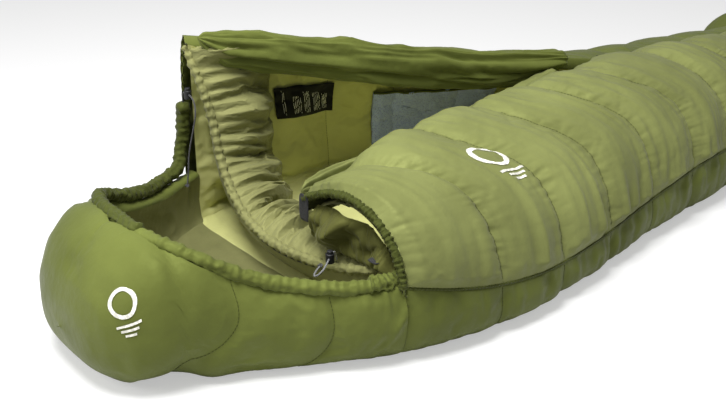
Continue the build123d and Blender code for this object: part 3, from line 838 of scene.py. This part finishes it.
def make_quilt():
    stations = seam_rows(SEAMS, NECK, FOOT_SEAM)
    columns = 68
    outside = leaning(stations, lambda s: rounded(quilt_outline(s), columns), QUILT_LEAN, QUILT_LEAN_SHARE)
    n = facing(outside, (60, 20, (0, 0, 1)))
    inside = outside - n * DEPTH
    _, v = shares(outside)
    station = np.repeat(stations[:, None], columns, axis=1)
    d = to_seam(stations, SEAMS, columns)
    fade = edge_fade(outside)
    footward = np.interp(station, [0.43, 0.70, 1.00, 2.08], [0.45, 0.75, 1.0, 1.0])
    puff = fade * (QUILT_PUFF * (1 - np.exp(-d / 0.034)) - 0.008)
    side = np.exp(-(1 - v) / 0.26)
    gathers = fade * side * footward * QUILT_GATHER * creases(station / 0.046, v * 1.3, 21)
    girth = fade * footward * QUILT_GIRTH * creases(station / 0.026, v * 1.8, 23)
    neck = fade * QUILT_NECK_FOLD * np.exp(-(station - NECK) / 0.035) * creases(v * 30, station / 0.2, 27)
    shaped = outside + n * (puff + gathers + girth + neck)[..., None]
    held = held_weight(d, edge_steps(outside))
    shaped = swell(shaped, held, n, 2.2, 0.007, cap=0.012)
    fine = refine(shaped)
    fine_n = facing(fine, (120, 40, (0, 0, 1)))
    fine_d, fine_fade, s2, v2 = (refine_values(x) for x in (d, fade, station, v))
    tucks = 0.0026 * np.exp(-fine_d / 0.026) * creases(v2 * 38, s2 / 0.06, 5)
    drag = 0.0020 * creases(s2 / 0.019 + 3 * v2, v2 * 2.2, 9) * np.interp(s2, [0.8, 1.1], [0.3, 1.0])
    fine = fine + fine_n * (fine_fade * (tucks + drag))[..., None]
    PANELS["quilt"] = (fine, fine_n, s2, v2)
    under = refine(inside)
    # the quilt wears the lighter copy of the shell, painted light for its lit top
    piece("quilt_skin", padded_skin(fine, under, 0.004, 0.010), "shell_top",
          stands_for=("quilt_shell", "quilt_fill"))
    near_head = np.exp(-(s2 - NECK) / 0.10)
    folds = fine_fade * (0.003 + 0.010 * near_head) * creases(s2 / 0.10, v2 * 9, 31)
    lined = under - fine_n * (folds + 0.004 * fine_fade * (1 - np.exp(-fine_d / 0.03)))[..., None]
    piece("quilt_inside", lined, "lining", stands_for=("quilt_lining",))
    stitches("quilt_stitching", fine, fine_n, seam_indices(s2))


def make_base():
    stations = seam_rows(SEAMS, NECK, FOOT_SEAM)
    columns = 141
    outside = leaning(stations, lambda s: rounded(base_outline(s), columns), BASE_LEAN, BASE_LEAN_SHARE)
    n = facing(outside, (60, 45, (0, 0, -1)))
    inside = outside - n * DEPTH
    _, v = shares(outside)
    station = np.repeat(stations[:, None], columns, axis=1)
    d = to_seam(stations, SEAMS, columns)
    fade = edge_fade(outside)
    clear = off_ground(outside)
    footward = np.interp(station, [0.43, 0.75, 0.95, 2.08], [0.35, 0.5, 1.0, 1.0])
    puff = fade * clear * (BASE_PUFF * (1 - np.exp(-d / 0.022)) - 0.004)
    near = fade * clear * np.exp(-v / 0.11)
    gathers = near * footward * BASE_GATHER * creases(station / 0.028 + 5 * v, v * 3, 41)
    folds = fade * clear * BASE_FOLD * creases(station / 0.12 + 3 * v, v * 7, 47)
    shaped = above(outside + n * (puff + gathers + folds)[..., None])
    held = held_weight(np.where(clear > 0, d, 0), edge_steps(outside))
    shaped = swell(shaped, held, n, 1.4, 0.009, cap=0.011)
    fine = above(refine(shaped))
    piece("base_skin", above(padded_skin(fine, refine(inside), 0.003, 0.006)), "shell",
          stands_for=("base_shell", "base_fill"))
    s2, v2 = refine_values(station), refine_values(v)
    stitches("base_stitching", fine, facing(fine, (120, 90, (0, 0, -1))), seam_indices(s2), STITCH_LOW)

    wall = rise(inside[..., 2], 0.06, 0.05) * (v > 0.5)
    bulge = fade * (LINING_PUFF * (1 - np.exp(-d / 0.028)) - 0.002)
    skirt = np.clip((SEAMS[0] - station) / 0.13, 0, 1) * rise(station, 0.445, 0.03) * wall
    radiating = skirt * (0.010 + 0.010 * creases(v * 17, station / 0.22, 57))
    folds = fade * (LINING_FOLD * creases(station / 0.10 + 4 * v, v * 9, 53) * (0.35 + 0.65 * wall))
    footing = -0.006 * np.exp(-((inside[..., 2] - 0.055) / 0.009) ** 2) * (v > 0.5)
    lined = inside - n * (bulge + folds + radiating + footing * fade)[..., None]
    turned = swell(lined[:, ::-1], held[:, ::-1], -n[:, ::-1], 1.2, 0.014, cap=0.014)
    lined = refine(turned[:, ::-1])
    n2 = facing(lined, (120, 90, (0, 0, 1)))
    lined += n2 * (refine_values(fade) * 0.0012 * creases(s2 / 0.022, v2 * 40, 59))[..., None]
    PANELS["lining"] = (lined, n2, s2, v2)
    # the far wall's lining wears the brightened copy, painted light
    piece("base_inside", lined, "lining_painted_lit", stands_for=("base_lining",))
    stitches("lining_stitching", lined, n2, seam_indices(s2))


def crown_station(s):
    """Ring values at a station of the crown."""
    at = [(k[0], k[1:]) for k in reversed(CROWN)]
    return (s, *(float(np.interp(s, [a for a, _ in at], [v[k] for _, v in at])) for k in range(3)))


MOUTH_END = 0.110
CLOSED_END = 0.170
CAP_ROWS = [-0.008, -0.0076, -0.0065, -0.005, -0.0025, 0.0, 0.004, 0.009]
CAP_END = 0.016
MOUTH_HALF = [(0.110, 0.0), (0.114, 0.030), (0.118, 0.062), (0.134, 0.118), (0.150, 0.150)]


def hood_section(s, columns):
    """The crown's ring, or the neck's open outline, or a mix of both between them."""
    gap = float(np.interp(s, *np.array(MOUTH_HALF).T))
    if s >= CLOSED_END:
        return rounded(neck_outline(s), columns)
    closed = ring(crown_station(min(s, CROWN_SEAM)), gap, columns)
    if s <= MOUTH_END:
        return closed
    share = ease((s - MOUTH_END) / 0.060)
    return closed * (1 - share) + rounded(neck_outline(max(s, CROWN_SEAM)), columns) * share


def make_hood():
    stations = np.concatenate([CAP_ROWS, seam_rows(HOOD_SEAMS, CAP_END, NECK)])
    columns = 111
    grid = leaning(stations, lambda s: hood_section(s, columns), HOOD_LEAN, HOOD_LEAN_SHARE)
    n = facing(grid, (len(stations) // 2, columns // 2, (0, 0, -1)))
    inside = grid - n * DEPTH
    _, v = shares(grid)
    row_station = np.repeat(stations[:, None], columns, axis=1)
    station = grid[..., 0] + CROWN_TO_ORIGIN
    d = to_seam(stations, HOOD_SEAMS, columns)
    clear = off_ground(grid)
    tip = rise(station, 0.02, 0.05)
    rim = np.minimum(v, 1 - v)
    mouth = rise(station, 0.10, 0.04)
    fade = np.clip(rim / 0.02, 0, 1) * mouth + (1 - mouth)
    puff = clear * tip * fade * (HOOD_PUFF * (1 - np.exp(-d / 0.02)) - 0.003)
    puckers = clear * mouth * HOOD_PUCKER * np.exp(-rim / 0.05) * creases(row_station / 0.022, v * 9, 61)
    late = rise(row_station, 0.25, 0.08)
    folds = clear * mouth * fade * HOOD_FOLD * late * creases(row_station / 0.07 + 9 * rim, v * 5, 67)
    shaped = above(grid + n * (puff + puckers + folds)[..., None])
    hold = np.where((clear == 0) | (row_station < 0.02), 1.0, held_weight(d, edge_steps(grid)))
    shaped = swell(shaped, hold, n, 1.0, 0.008, cap=0.008)
    part = stations > MOUTH_END
    edge, _ = wrap(shaped[part], inside[part], 0.008, 1)
    crown = shaped[stations <= stations[part][0]]
    piece("hood_neck_skin", above(refine(edge)), "shell",
          stands_for=("hood_neck_shell", "hood_neck_fill"))
    piece("hood_crown_skin", above(refine(crown)), "shell", weld=POLE_WELD,
          stands_for=("hood_crown_shell", "hood_crown_fill"))
    fine = refine(shaped)
    fine_n = facing(fine, (fine.shape[0] // 2, columns, (0, 0, -1)))
    s2 = refine_values(row_station)
    PANELS["hood"] = (fine, fine_n, s2, refine_values(v))
    stitches("hood_stitching", fine, fine_n, seam_indices(s2, HOOD_SEAMS), STITCH_LOW)
    keep = stations >= CAP_END
    lined = inside - n * (0.004 * creases(row_station / 0.08, v * 9, 71) * fade)[..., None]
    # the hood's lining wears the darkened copy, painted shade
    piece("hood_inside", above(refine(lined[keep]), 0.012), "lining_painted_shade_hood",
          stands_for=("hood_neck_lining", "hood_crown_lining"))


FOOT_ROWS = [2.198, 2.201, 2.2035, 2.2055, 2.2075, 2.2093, 2.2105, 2.211]


def make_footbox():
    at = np.array([k[0] for k in FOOT])
    stations = np.concatenate([[FOOT_SEAM - 0.004], np.arange(FOOT_SEAM, 2.196, CELL), FOOT_ROWS])
    columns = 131
    grid = np.empty((len(stations), columns, 3))
    bag_end = rounded([*quilt_outline(FOOT_SEAM), *base_outline(FOOT_SEAM)], columns)
    for i, s in enumerate(stations):
        values = [float(np.interp(s, at, [k[m] for k in FOOT])) for m in (1, 2, 3)]
        share = ease(rise(s, FOOT_SEAM, 0.080))
        grid[i, :, 0] = s - CROWN_TO_ORIGIN
        grid[i, :, 1:] = bag_end * (1 - share) + ring((s, *values), 0, columns) * share
    n = normals(grid)
    n *= -np.sign(n[2, columns // 2, 2])
    station = grid[..., 0] + CROWN_TO_ORIGIN
    _, v = shares(grid)
    clear = off_ground(grid)
    d = station - FOOT_SEAM
    cap = np.clip((2.200 - station) / 0.03, 0, 1)
    away = np.clip(d, 0, None)
    puff = clear * cap * FOOT_PUFF * (1 - np.exp(-away / 0.02)) + 0.0012 * clear
    pleats = clear * cap * FOOT_PLEAT * creases(v * 34, d / 0.12, 171)
    pleats = pleats * np.exp(-away / 0.06) * (1 - np.exp(-away / 0.006))
    grid = above(grid + n * (puff + pleats)[..., None])
    piece("footbox_skin", refine(grid), "shell", weld=POLE_WELD,
          stands_for=("footbox_shell", "footbox_fill", "footbox_lining"))
    route = [(FOOT_SEAM - 0.003, y, max(z, 0.004)) for y, z in bag_end[::3]]
    roll("foot_seam_piping", route, lambda a, t: 0.0030 + 0.0005 * np.sin(a * 900), 900, 10,
         "hem")


def edge_strip(body, line, side, toward, depth, width, start, end, material, seed):
    """Padded strip that hangs from an open edge."""
    name = f"{body}_skin"
    stands_for = [f"{body}_{layer}" for layer in ("shell", "fill", "lining")]

    def line_at(s):
        y, z = on_line(s, line)
        return y + side, z + 0.001
    stations = np.linspace(start, end, int(round((end - start) / CELL)) + 1)
    around = 48
    grid = np.empty((len(stations), around, 3))
    angle = np.linspace(0, 2 * math.pi, around, endpoint=False)
    for i, s in enumerate(stations):
        y, z = line_at(s)
        w = max(smooth(s, width), 0.012) + 0.010
        c, k = np.cos(angle), np.sin(angle)
        across = np.sign(c) * np.abs(c) ** 0.8 * depth / 2
        down = np.sign(k) * np.abs(k) ** 0.8 * w / 2
        grid[i, :, 0] = s - CROWN_TO_ORIGIN
        grid[i, :, 1] = y + toward * (depth / 2 + 0.001) + across
        grid[i, :, 2] = z + 0.010 - w / 2 + down
    centre = grid.mean(axis=1, keepdims=True)
    out = grid - centre
    length = np.linalg.norm(out, axis=2, keepdims=True)
    out = unit(out)
    share = (stations - start) / (end - start)
    end_fade = np.sqrt(np.clip(np.minimum(share / 0.05, (1 - share) / 0.02), 0, 1))[:, None]
    corner = np.clip((0.05 - share) / 0.05, 0, 1) ** 1.5
    lift = np.zeros_like(centre)
    lift[:, 0, 2] = 0.020 * corner
    lift[:, 0, 0] = -0.012 * corner
    centre = centre + lift
    t = stations[:, None] / 0.090 + np.sin(angle)[None, :] * 1.5
    folds = 0.0045 * creases(t, 3 + np.cos(angle)[None, :] * 1.6, seed)
    long_folds = 0.012 * creases(stations[:, None] / 0.34, 4 + np.sin(angle)[None, :] * 2.4, seed + 5)
    grid = centre + out * (length[..., 0] * end_fade + (folds + long_folds) * end_fade)[..., None]
    padded = np.concatenate([grid[:, -2:], grid, grid[:, :2]], axis=1)
    fine = refine(padded)[:, 4:-3][:, :2 * around]
    obj = piece(name, fine, material, None, close=True, stands_for=stands_for)
    s = (start + end) / 2
    y, z = line_at(s)
    along = np.array(row(end, *line_at(end))) - np.array(row(start, *line_at(start)))
    along /= np.linalg.norm(along)
    down = np.array((0, 0, -1.0))
    down -= along * down.dot(along)
    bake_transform(obj)


def make_edges():
    edge_strip("far_flap", TOP_LINE, -0.027, -1, 0.026, FLAP_WIDTH, 0.440, 1.200, "shell", 81)
    edge_strip("quilt_edge", QUILT_LINE, 0.001, 1, 0.018, EDGE_WIDTH, 0.440, 1.160, "shell_top", 91)


# ---------------------------------------------------------------- stitching, label, pocket, marks
STITCH_PITCH, STITCH_HALF, STITCH_RADIUS, STITCH_LIFT = 0.0065, 0.0022, 0.0005, 0.0004
# panels that lie on the ground have no stitches below this height
STITCH_LOW = 0.012


def stitches(name, grid, n, lines, low=-math.inf):
    """Dashes of thread along a grid's rows, above a height."""
    verts, faces = [], []
    for line in lines:
        run = run_along(grid[line])
        for at in np.arange(STITCH_PITCH, run[-1] - STITCH_PITCH, STITCH_PITCH):
            a, b = (points_at(at + k * STITCH_HALF, run, grid[line]) for k in (-1, 1))
            out = points_at(at, run, n[line])
            if a[2] > low:
                add_thread(verts, faces, a + out * STITCH_LIFT, b + out * STITCH_LIFT, out, STITCH_RADIUS)
    loose_piece(name, verts, faces, "thread")


def add_thread(verts, faces, a, b, lift, radius, sides=5):
    """One short rounded bar from a to b."""
    ahead = (b - a) / max(np.linalg.norm(b - a), 1e-9)
    side = np.cross(ahead, lift)
    side /= max(np.linalg.norm(side), 1e-9)
    up = np.cross(side, ahead)
    first = len(verts)
    verts.append(tuple(a - ahead * radius))
    for centre in (a, b):
        for k in range(sides):
            t = 2 * math.pi * k / sides
            verts.append(tuple(centre + radius * (math.cos(t) * side + math.sin(t) * up)))
    verts.append(tuple(b + ahead * radius))
    last = first + 2 * sides + 1
    for k in range(sides):
        near, far = first + 1 + k, first + 1 + (k + 1) % sides
        faces.append((first, far, near))
        faces.append((near, far, far + sides, near + sides))
        faces.append((near + sides, far + sides, last))


def slab(face, n, thick):
    """Closed sheet of a thickness: a grid with its back, ready for close=True."""
    back = face - n * thick
    middle = (face + back) / 2
    left = middle[:, :1] + 0.5 * thick * unit(face[:, :1] - face[:, 1:2])
    right = middle[:, -1:] + 0.5 * thick * unit(face[:, -1:] - face[:, -2:-1])
    loop = np.concatenate([left, face, right, back[:, ::-1]], axis=1)
    caps = [np.repeat(loop[[k]].mean(axis=1, keepdims=True), loop.shape[1], axis=1) for k in (0, -1)]
    return np.concatenate([caps[0], loop, caps[1]])


def wall_patch(stations, low, high, count):
    """Points and outward normals of the far wall's lining between two heights at each station."""
    grid, n, _, v = PANELS["lining"]
    start = int(np.searchsorted(v[0], 0.60))
    i = np.empty((len(stations), count))
    j = np.empty_like(i)
    for k, s in enumerate(stations):
        row_x = np.arange(grid.shape[0])
        middle = (start + grid.shape[1]) // 2
        at = np.interp(s - CROWN_TO_ORIGIN, grid[:, middle, 0], row_x)
        z = grid[int(round(at)), start:, 2]
        rising = np.maximum.accumulate(z + np.arange(len(z)) * 1e-7)
        i[k] = at
        j[k] = start + np.interp(np.linspace(low(s), high(s), count), rising, np.arange(len(z)))
    n = -n if n[120, -40, 1] > 0 else n
    return at_index(grid, i, j), unit(at_index(n, i, j))


LABEL_FLAT = (0.075, 0.145)
LABEL_START, LABEL_LOW, LABEL_SLOPE = 0.650, 0.205, 0.07
# share of the label that each column of print fills, and its lines
LABEL_PRINT = ((0.8, 2), (0.55, 5), (0.7, 4), (0.62, 5), (0.5, 4))
DASHES = 14


def make_label():
    stations = np.linspace(LABEL_START, LABEL_START + LABEL_FLAT[1], 34)

    def foot(s):
        return LABEL_LOW - LABEL_SLOPE * (s - LABEL_START)
    face, out = wall_patch(stations, foot, lambda s: foot(s) + LABEL_FLAT[0], 20)
    face = face + out * 0.0045
    obj = piece("care_label_cloth", slab(face, out, 0.0009), "label", close=True,
                stands_for=("care_label",))
    verts, faces = [], []
    for column, (length, lines) in enumerate(LABEL_PRINT):
        for line in range(lines):
            r = np.array((0.12 + 0.17 * column + 0.028 * line) * (len(stations) - 1))
            for k in range(DASHES):
                share = 0.12 + length * k / DASHES
                if (k * 7 + line * 5 + column * 3) % 6 == 0:
                    continue
                a, b = (np.array((share + m * length / DASHES) * 19) for m in (0, 0.82))
                ends = [at_index(face, r, c) + at_index(out, r, c) * 0.0006 for c in (a, b)]
                add_thread(verts, faces, *ends, at_index(out, r, b), 0.0006)
    loose_piece("care_label_lines", verts, faces, "print", rounded_shading=False)


POCKET_START, POCKET_END = 0.885, 1.212


def pocket_foot(s):
    return 0.082 + 0.30 * max(0.905 - s, 0.0)


def pocket_top(s):
    return 0.228 - 0.075 * (s - POCKET_START)


def make_pocket():
    """Domed net on the far wall, with a tape along its open top."""
    face, out = wall_patch(np.linspace(POCKET_START, POCKET_END, 76), pocket_foot, pocket_top, 34)
    a, b = shares(face)
    dome = np.sqrt(np.clip(np.minimum(np.minimum(a, 1 - a) / 0.06, b / 0.10), 0, 1))
    wave = 0.0022 * lattice(a * 11, b * 3, 141)
    face = face + out * (0.0030 + dome * (0.0085 + wave))[..., None]
    obj = piece("mesh_pocket_net", slab(face, out, 0.0012), "mesh", close=True,
                stands_for=("mesh_pocket",))
    route = [(p[0] + CROWN_TO_ORIGIN, p[1], p[2]) for p in face[::5, -1]]
    roll("pocket_binding_tape", route, lambda a, t: 0.0030 + 0.0006 * np.sin(a * 420), 260, 12, "binding",
         stands_for=("pocket_binding",))


def make_mark(name, panel, near, size):
    """Plain printed ring with three bars under it, laid on a panel."""
    grid, n, _, _ = PANELS[panel]
    i0, j0 = np.unravel_index(np.linalg.norm(grid - np.array(row(*near)), axis=2).argmin(), grid.shape[:2])
    step = np.linalg.norm(grid[i0 + 1, j0] - grid[i0, j0])
    side = np.linalg.norm(grid[i0, j0 + 1] - grid[i0, j0])
    n = n if n[i0, j0].dot(np.array((0, -0.4, 1.0))) > 0 else -n

    def lay(a, b):
        i, j = i0 + np.asarray(a) * size / step, j0 + np.asarray(b) * size / side
        return at_index(grid, i, j) + unit(at_index(n, i, j)) * 0.0011
    turn = np.linspace(0, 2 * math.pi, 73)[:, None]
    r = np.array([[0.74, 0.80, 0.86, 0.92, 1.0]])
    strips = [lay(r * np.cos(turn), r * np.sin(turn))]
    for k, reach in enumerate((0.9, 0.65, 0.4)):
        b = 1.35 + 0.34 * k + np.linspace(0, 0.17, 4)[:, None]
        a = np.linspace(-reach, reach, 25)[None, :]
        strips.append(lay(*np.broadcast_arrays(a, b)))
    verts, faces = [], []
    for strip in strips:
        base = len(verts)
        verts += [tuple(p) for p in strip.reshape(-1, 3)]
        faces += [tuple(base + k for k in f) for f in faces_of(strip.shape)]
    loose_piece(name, verts, faces, "print", rounded_shading=False)


def plate(name, centre, across, along, half, thick, body, node, bend):
    """Rounded flat piece of hook tape with a turned edge."""
    across, along = np.array(across, float), np.array(along, float)
    out = np.cross(across, along)
    t = np.linspace(0, 2 * math.pi, 49)[:-1]
    rim = np.stack([np.cos(t), np.sin(t)])
    rim = np.sign(rim) * np.abs(rim) ** 0.35
    rings = []
    for scale, lift in ((0.02, -0.5), (0.6, -0.5), (0.93, -0.5), (1.0, -0.2), (1.0, 0.2), (0.93, 0.5),
                        (0.6, 0.5), (0.02, 0.5)):
        u, w = rim[0] * scale * half[0], rim[1] * scale * half[1]
        curl = bend * (w / half[1]) ** 2
        rings.append(np.array(row(*centre)) + u[:, None] * across + w[:, None] * along
                     + (lift * thick + curl)[:, None] * out)
    piece(name, np.array(rings), "hook_tape", body, close=True, stands_for=(node,))


FACING_TOP = [(0.432, -0.098, 0.206), (0.434, -0.160, 0.216), (0.436, -0.215, 0.212), (0.440, -0.262, 0.190),
              (0.446, -0.296, 0.160)]
FACING_FOOT = [(0.430, -0.092, 0.142), (0.428, -0.140, 0.138), (0.432, -0.190, 0.136), (0.440, -0.235, 0.134),
               (0.450, -0.280, 0.136)]
BUNCH = [(0.386, -0.292, 0.150), (0.400, -0.299, 0.148), (0.418, -0.303, 0.146), (0.436, -0.303, 0.143),
         (0.446, -0.296, 0.140)]


def make_neck_facing():
    """Gathered lining that hangs inside the quilt's neck edge, and the bunch at its near end."""
    count, reach = 150, 44
    top, foot = rounded(rows(FACING_TOP), count), rounded(rows(FACING_FOOT), count)
    a = np.linspace(0, 1, count)[:, None]
    u = np.linspace(0, 1, reach)[None, :]
    sheet = top[:, None] * (1 - u[..., None]) + foot[:, None] * u[..., None]
    drape = 0.024 * lattice(a * 5 + 1.2 * u, u * 1.6, 151) + 0.010 * creases(a * 8 - u, u * 1.5, 153)
    billow = 0.022 * np.sin(math.pi * u) - 0.004
    sheet[..., 0] += drape * np.sin(math.pi * np.clip(u, 0.05, 0.95)) ** 0.5 - billow
    sheet[..., 2] += 0.006 * lattice(a * 9, u * 3, 157) * np.sin(math.pi * u)
    # the facing's dark olive is painted shade
    piece("neck_facing", refine(sheet), "facing")

    def bunch(share, angle):
        ripple = 0.0012 * np.sin(share * 40 + 2 * angle)
        return 0.0120 + 0.0050 * creases(share * 5, angle * 1.1, 161) + ripple
    roll("neck_gather_bunch", BUNCH, bunch, 150, 36, "shell")


def make_tabs():
    plate("neck_tab_webbing", (0.4215, -0.076, 0.196), (0, 1, 0), (0, 0, 1), (0.013, 0.025), 0.0021,
          "neck_tab", "neck_tab", 0.0012)
    plate("loop_patch_fleece", (0.436, -0.262, 0.165), (1, 0, 0), (0, 1, 0), (0.020, 0.012), 0.0018,
          "bag", "loop_patch", 0.0008)
    for name, y in (("near", -0.060), ("far", 0.060)):
        half = [(2.203, 0.0213), (2.216, 0.0215), (2.2258, 0.0185), (2.2262, 0.008)]
        bow = [(s, y - reach) for s, reach in half] + [(s, y + reach) for s, reach in reversed(half)]
        line = rounded(bow, 60)
        ahead = unit(np.gradient(line, axis=0))
        out = np.stack([ahead[:, 1], -ahead[:, 0]], axis=1)
        high = np.linspace(-0.006, 0.006, 9)
        grid = np.empty((60, 9, 3))
        grid[..., 0] = line[:, None, 0] - CROWN_TO_ORIGIN
        grid[..., 1] = line[:, None, 1]
        grid[..., 2] = 0.125 + high
        n = np.zeros_like(grid)
        n[..., :2] = out[:, None]
        piece(f"hanging_loop_{name}_strap", slab(grid, n, 0.0013), "binding", close=True,
              stands_for=("hanging_loops",))


COIL_PITCH, COIL_RADIUS, COIL_INSET = 0.0022, 0.0007, 0.002
COIL_ACROSS = np.array((1.0, 0.0, 0.0001))


def coil(node, body, place, start, end, reach):
    """Row of nylon coil turns; place gives a station's (y, z), and reach is half a turn's length."""
    verts, faces = [], []
    for s in np.arange(start + COIL_INSET, end - COIL_INSET, COIL_PITCH):
        centre = np.array(row(s, *place(s)))
        add_thread(verts, faces, centre - reach, centre + reach, COIL_ACROSS, COIL_RADIUS, 7)
    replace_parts(loose_piece(f"{node}_turns", verts, faces, "zip_coil", body), node)


def make_coils():
    def closed(side):
        return lambda s: (side * 0.0019, on_line(s, ZIP_LINE)[1])

    def hanging(line, side, depth, width):
        def at(s):
            y, z = on_line(s, line)
            drop = float(np.interp(s, *np.array(width).T)) + 0.0004 + 0.010 + 0.001
            return y + side[0] + side[1] * depth, z + 0.001 - drop
        return at
    flat, upright = np.array((0.0003, 0.0006, 0)), np.array((0.0003, 0, 0.0006))
    coil("zip_coil_base", "bag", closed(1), ZIP_START, ZIP_END, flat)
    coil("zip_coil_quilt", "bag", closed(-1), ZIP_START, ZIP_END, flat)
    coil("zip_coil_far_flap", "far_flap", hanging(TOP_LINE, (-0.027, -1), 0.012, FLAP_WIDTH), 0.455, 1.190,
         upright)
    coil("zip_coil_quilt_edge", "quilt_edge", hanging(QUILT_LINE, (0.001, 1), 0.009, EDGE_WIDTH), 0.455,
         1.150, upright)


# ---------------------------------------------------------------- rolls, collar and piping
GATHER_LINE = [(0.424, 0.296, 0.408), (0.430, 0.262, 0.345), (0.438, 0.232, 0.270), (0.434, 0.206, 0.180),
               (0.420, 0.120, 0.116), (0.404, 0.010, 0.104), (0.412, -0.100, 0.106), (0.434, -0.190, 0.116),
               (0.452, -0.250, 0.134), (0.470, -0.285, 0.150)]
LANDING_LINE = [(0.580, 0.236, 0.376), (0.612, 0.290, 0.310), (0.628, 0.322, 0.230), (0.636, 0.330, 0.130),
                (0.628, 0.300, 0.052), (0.604, 0.180, 0.030), (0.580, 0.040, 0.030), (0.570, -0.110, 0.030),
                (0.560, -0.240, 0.040), (0.545, -0.300, 0.080)]


def make_collar():
    """Gathered collar: a puffed skirt from the cord's gather line down to where it is sewn on."""
    count, reach = 420, 56
    gather, landing = rounded(rows(GATHER_LINE), count), rounded(rows(LANDING_LINE), count)
    a = np.linspace(0, 1, count)[:, None]
    u = np.linspace(0, 1, reach)[None, :]
    flat = gather[:, None] * (1 - u[..., None]) + landing[:, None] * u[..., None]
    inward = unit(np.cross(landing - gather, np.gradient(gather, axis=0)))
    inward *= np.sign(inward[count // 2, 2])
    warp = a + 0.012 * lattice(a * 9, u * 2.5, 113)
    tight = (1 - u) ** 1.3 * np.sin(2 * math.pi * 33 * warp)
    lobes = np.sin(math.pi * u) ** 0.8 * np.sin(2 * math.pi * 12 * (warp + 0.03 * u))
    broad = np.sin(math.pi * u) * np.sin(2 * math.pi * 5.5 * warp + 1.1)
    folds = np.sin(math.pi * u) ** 0.5 * creases(a * 34, u * 2.4, 111)
    height = (0.040 * np.sin(math.pi * u ** 0.7) ** 0.8 + 0.0034 * tight + 0.0095 * lobes + 0.012 * broad
              + 0.0090 * folds)
    ends = np.sqrt(np.clip(np.minimum(a, 1 - a) / 0.03, 0, 1))
    skirt = flat + inward[:, None] * (height * ends)[..., None]
    held = np.where((u < 0.02) | (u > 0.98) | (a < 0.003) | (a > 0.997), 1.0, 0.0)
    skirt = above(refine(swell(skirt, held, inward[:, None], 1.2, 0.030, cap=0.014)), 0.029)
    # skirt, gather and back of the collar wear the lining's darkened copy, painted shade
    piece("draft_collar_skirt", skirt, "lining_painted_shade_collar", stands_for=("draft_collar",))

    def ruffle(share, angle):
        return 0.0075 + 0.0022 * creases(share * 60, angle * 1.3, 117) + 0.0012 * np.sin(share * 280)
    roll("draft_collar_gather", GATHER_LINE, ruffle, 520, 22, "lining_painted_shade_collar")
    back = gather + np.array((-0.004, 0, 0))
    under = gather * 0.45 + landing * 0.55 - inward * 0.012
    loop = np.stack([back, back * 0.6 + under * 0.4 - inward * 0.03, under], axis=1)
    piece("draft_collar_back", refine(loop), "lining_painted_shade_collar")


def make_rolls():
    def hem(share, angle):
        gather = 0.0034 * creases(share * 30, angle * 1.2, 101)
        gather = gather + 0.0008 * np.sin(share * 260 + 3 * np.cos(angle))
        return 0.0125 - 0.0025 * share + gather
    roll("hood_hem_roll", HEM_ROUTE[:14], hem, 360, 22, "hem", ("hood_hem",))

    def rim(share, angle):
        return 0.0108 + 0.0030 * creases(share * 22, angle * 0.8, 103) + 0.0006 * np.sin(share * 210)
    route = [(s, y, z - 0.006) for s, y, z in HEM_ROUTE[11:]]
    roll("hood_rim_roll", route, rim, 420, 26, "shell")
    make_collar()
    y0, z0 = on_line(ZIP_START + 0.040, ZIP_LINE)
    y1, z1 = on_line(ZIP_END - 0.020, ZIP_LINE)
    route = [(ZIP_START + 0.040, y0, z0 - 0.050), (1.6, 0.001, (z0 + z1) / 2 - 0.050),
             (ZIP_END - 0.020, y1, z1 - 0.050)]
    roll("draft_tube_roll", route, lambda a, t: 0.0165 + 0.0015 * lattice(a * 40, t * 1.5, 121), 200, 26,
         "lining", ("draft_tube",))

    stations = np.linspace(NECK, FOOT_SEAM, 30)
    route = [(s, 0.006 - smooth(s, HALF_WIDTH), smooth(s, SEAM_HEIGHT) + 0.0015) for s in stations]
    roll("side_seam_piping", route, lambda a, t: 0.0026 + 0.0005 * np.sin(a * 1500), 1300, 8,
         "hem", ("side_seam",))

    line = rounded(quilt_outline(NECK), 24)
    route = [(NECK - 0.003, y, z - 0.004) for y, z in line]

    def gather(share, angle):
        return 0.0060 + 0.0028 * creases(share * 44, angle * 1.2, 131) + 0.0008 * np.sin(share * 240)
    roll("neck_binding_roll", route, gather, 420, 16, "hem", ("quilt_neck_binding",))


def dress_cad_nodes():
    """Gives every CAD node that still shows its own finish."""
    slots = {part["node"]: part["material_slot"] for part in frame["record"]["subparts"]}
    for name, obj in frame["nodes"].items():
        slot = slots[name]
        material = MATERIALS.get(slot, MATERIALS["shell"])
        if not obj.data.materials:
            obj.data.materials.append(material)
        for i in range(len(obj.data.materials)):
            obj.data.materials[i] = material


make_camera()
make_studio()
make_cords()
make_quilt()
make_base()
make_hood()
make_footbox()
make_edges()
make_label()
make_pocket()
make_mark("quilt_mark", "quilt", (0.700, -0.245, 0.275), 0.034)
make_mark("hood_mark", "hood", (0.050, -0.130, 0.165), 0.024)
make_neck_facing()
make_tabs()
make_coils()
make_rolls()
dress_cad_nodes()
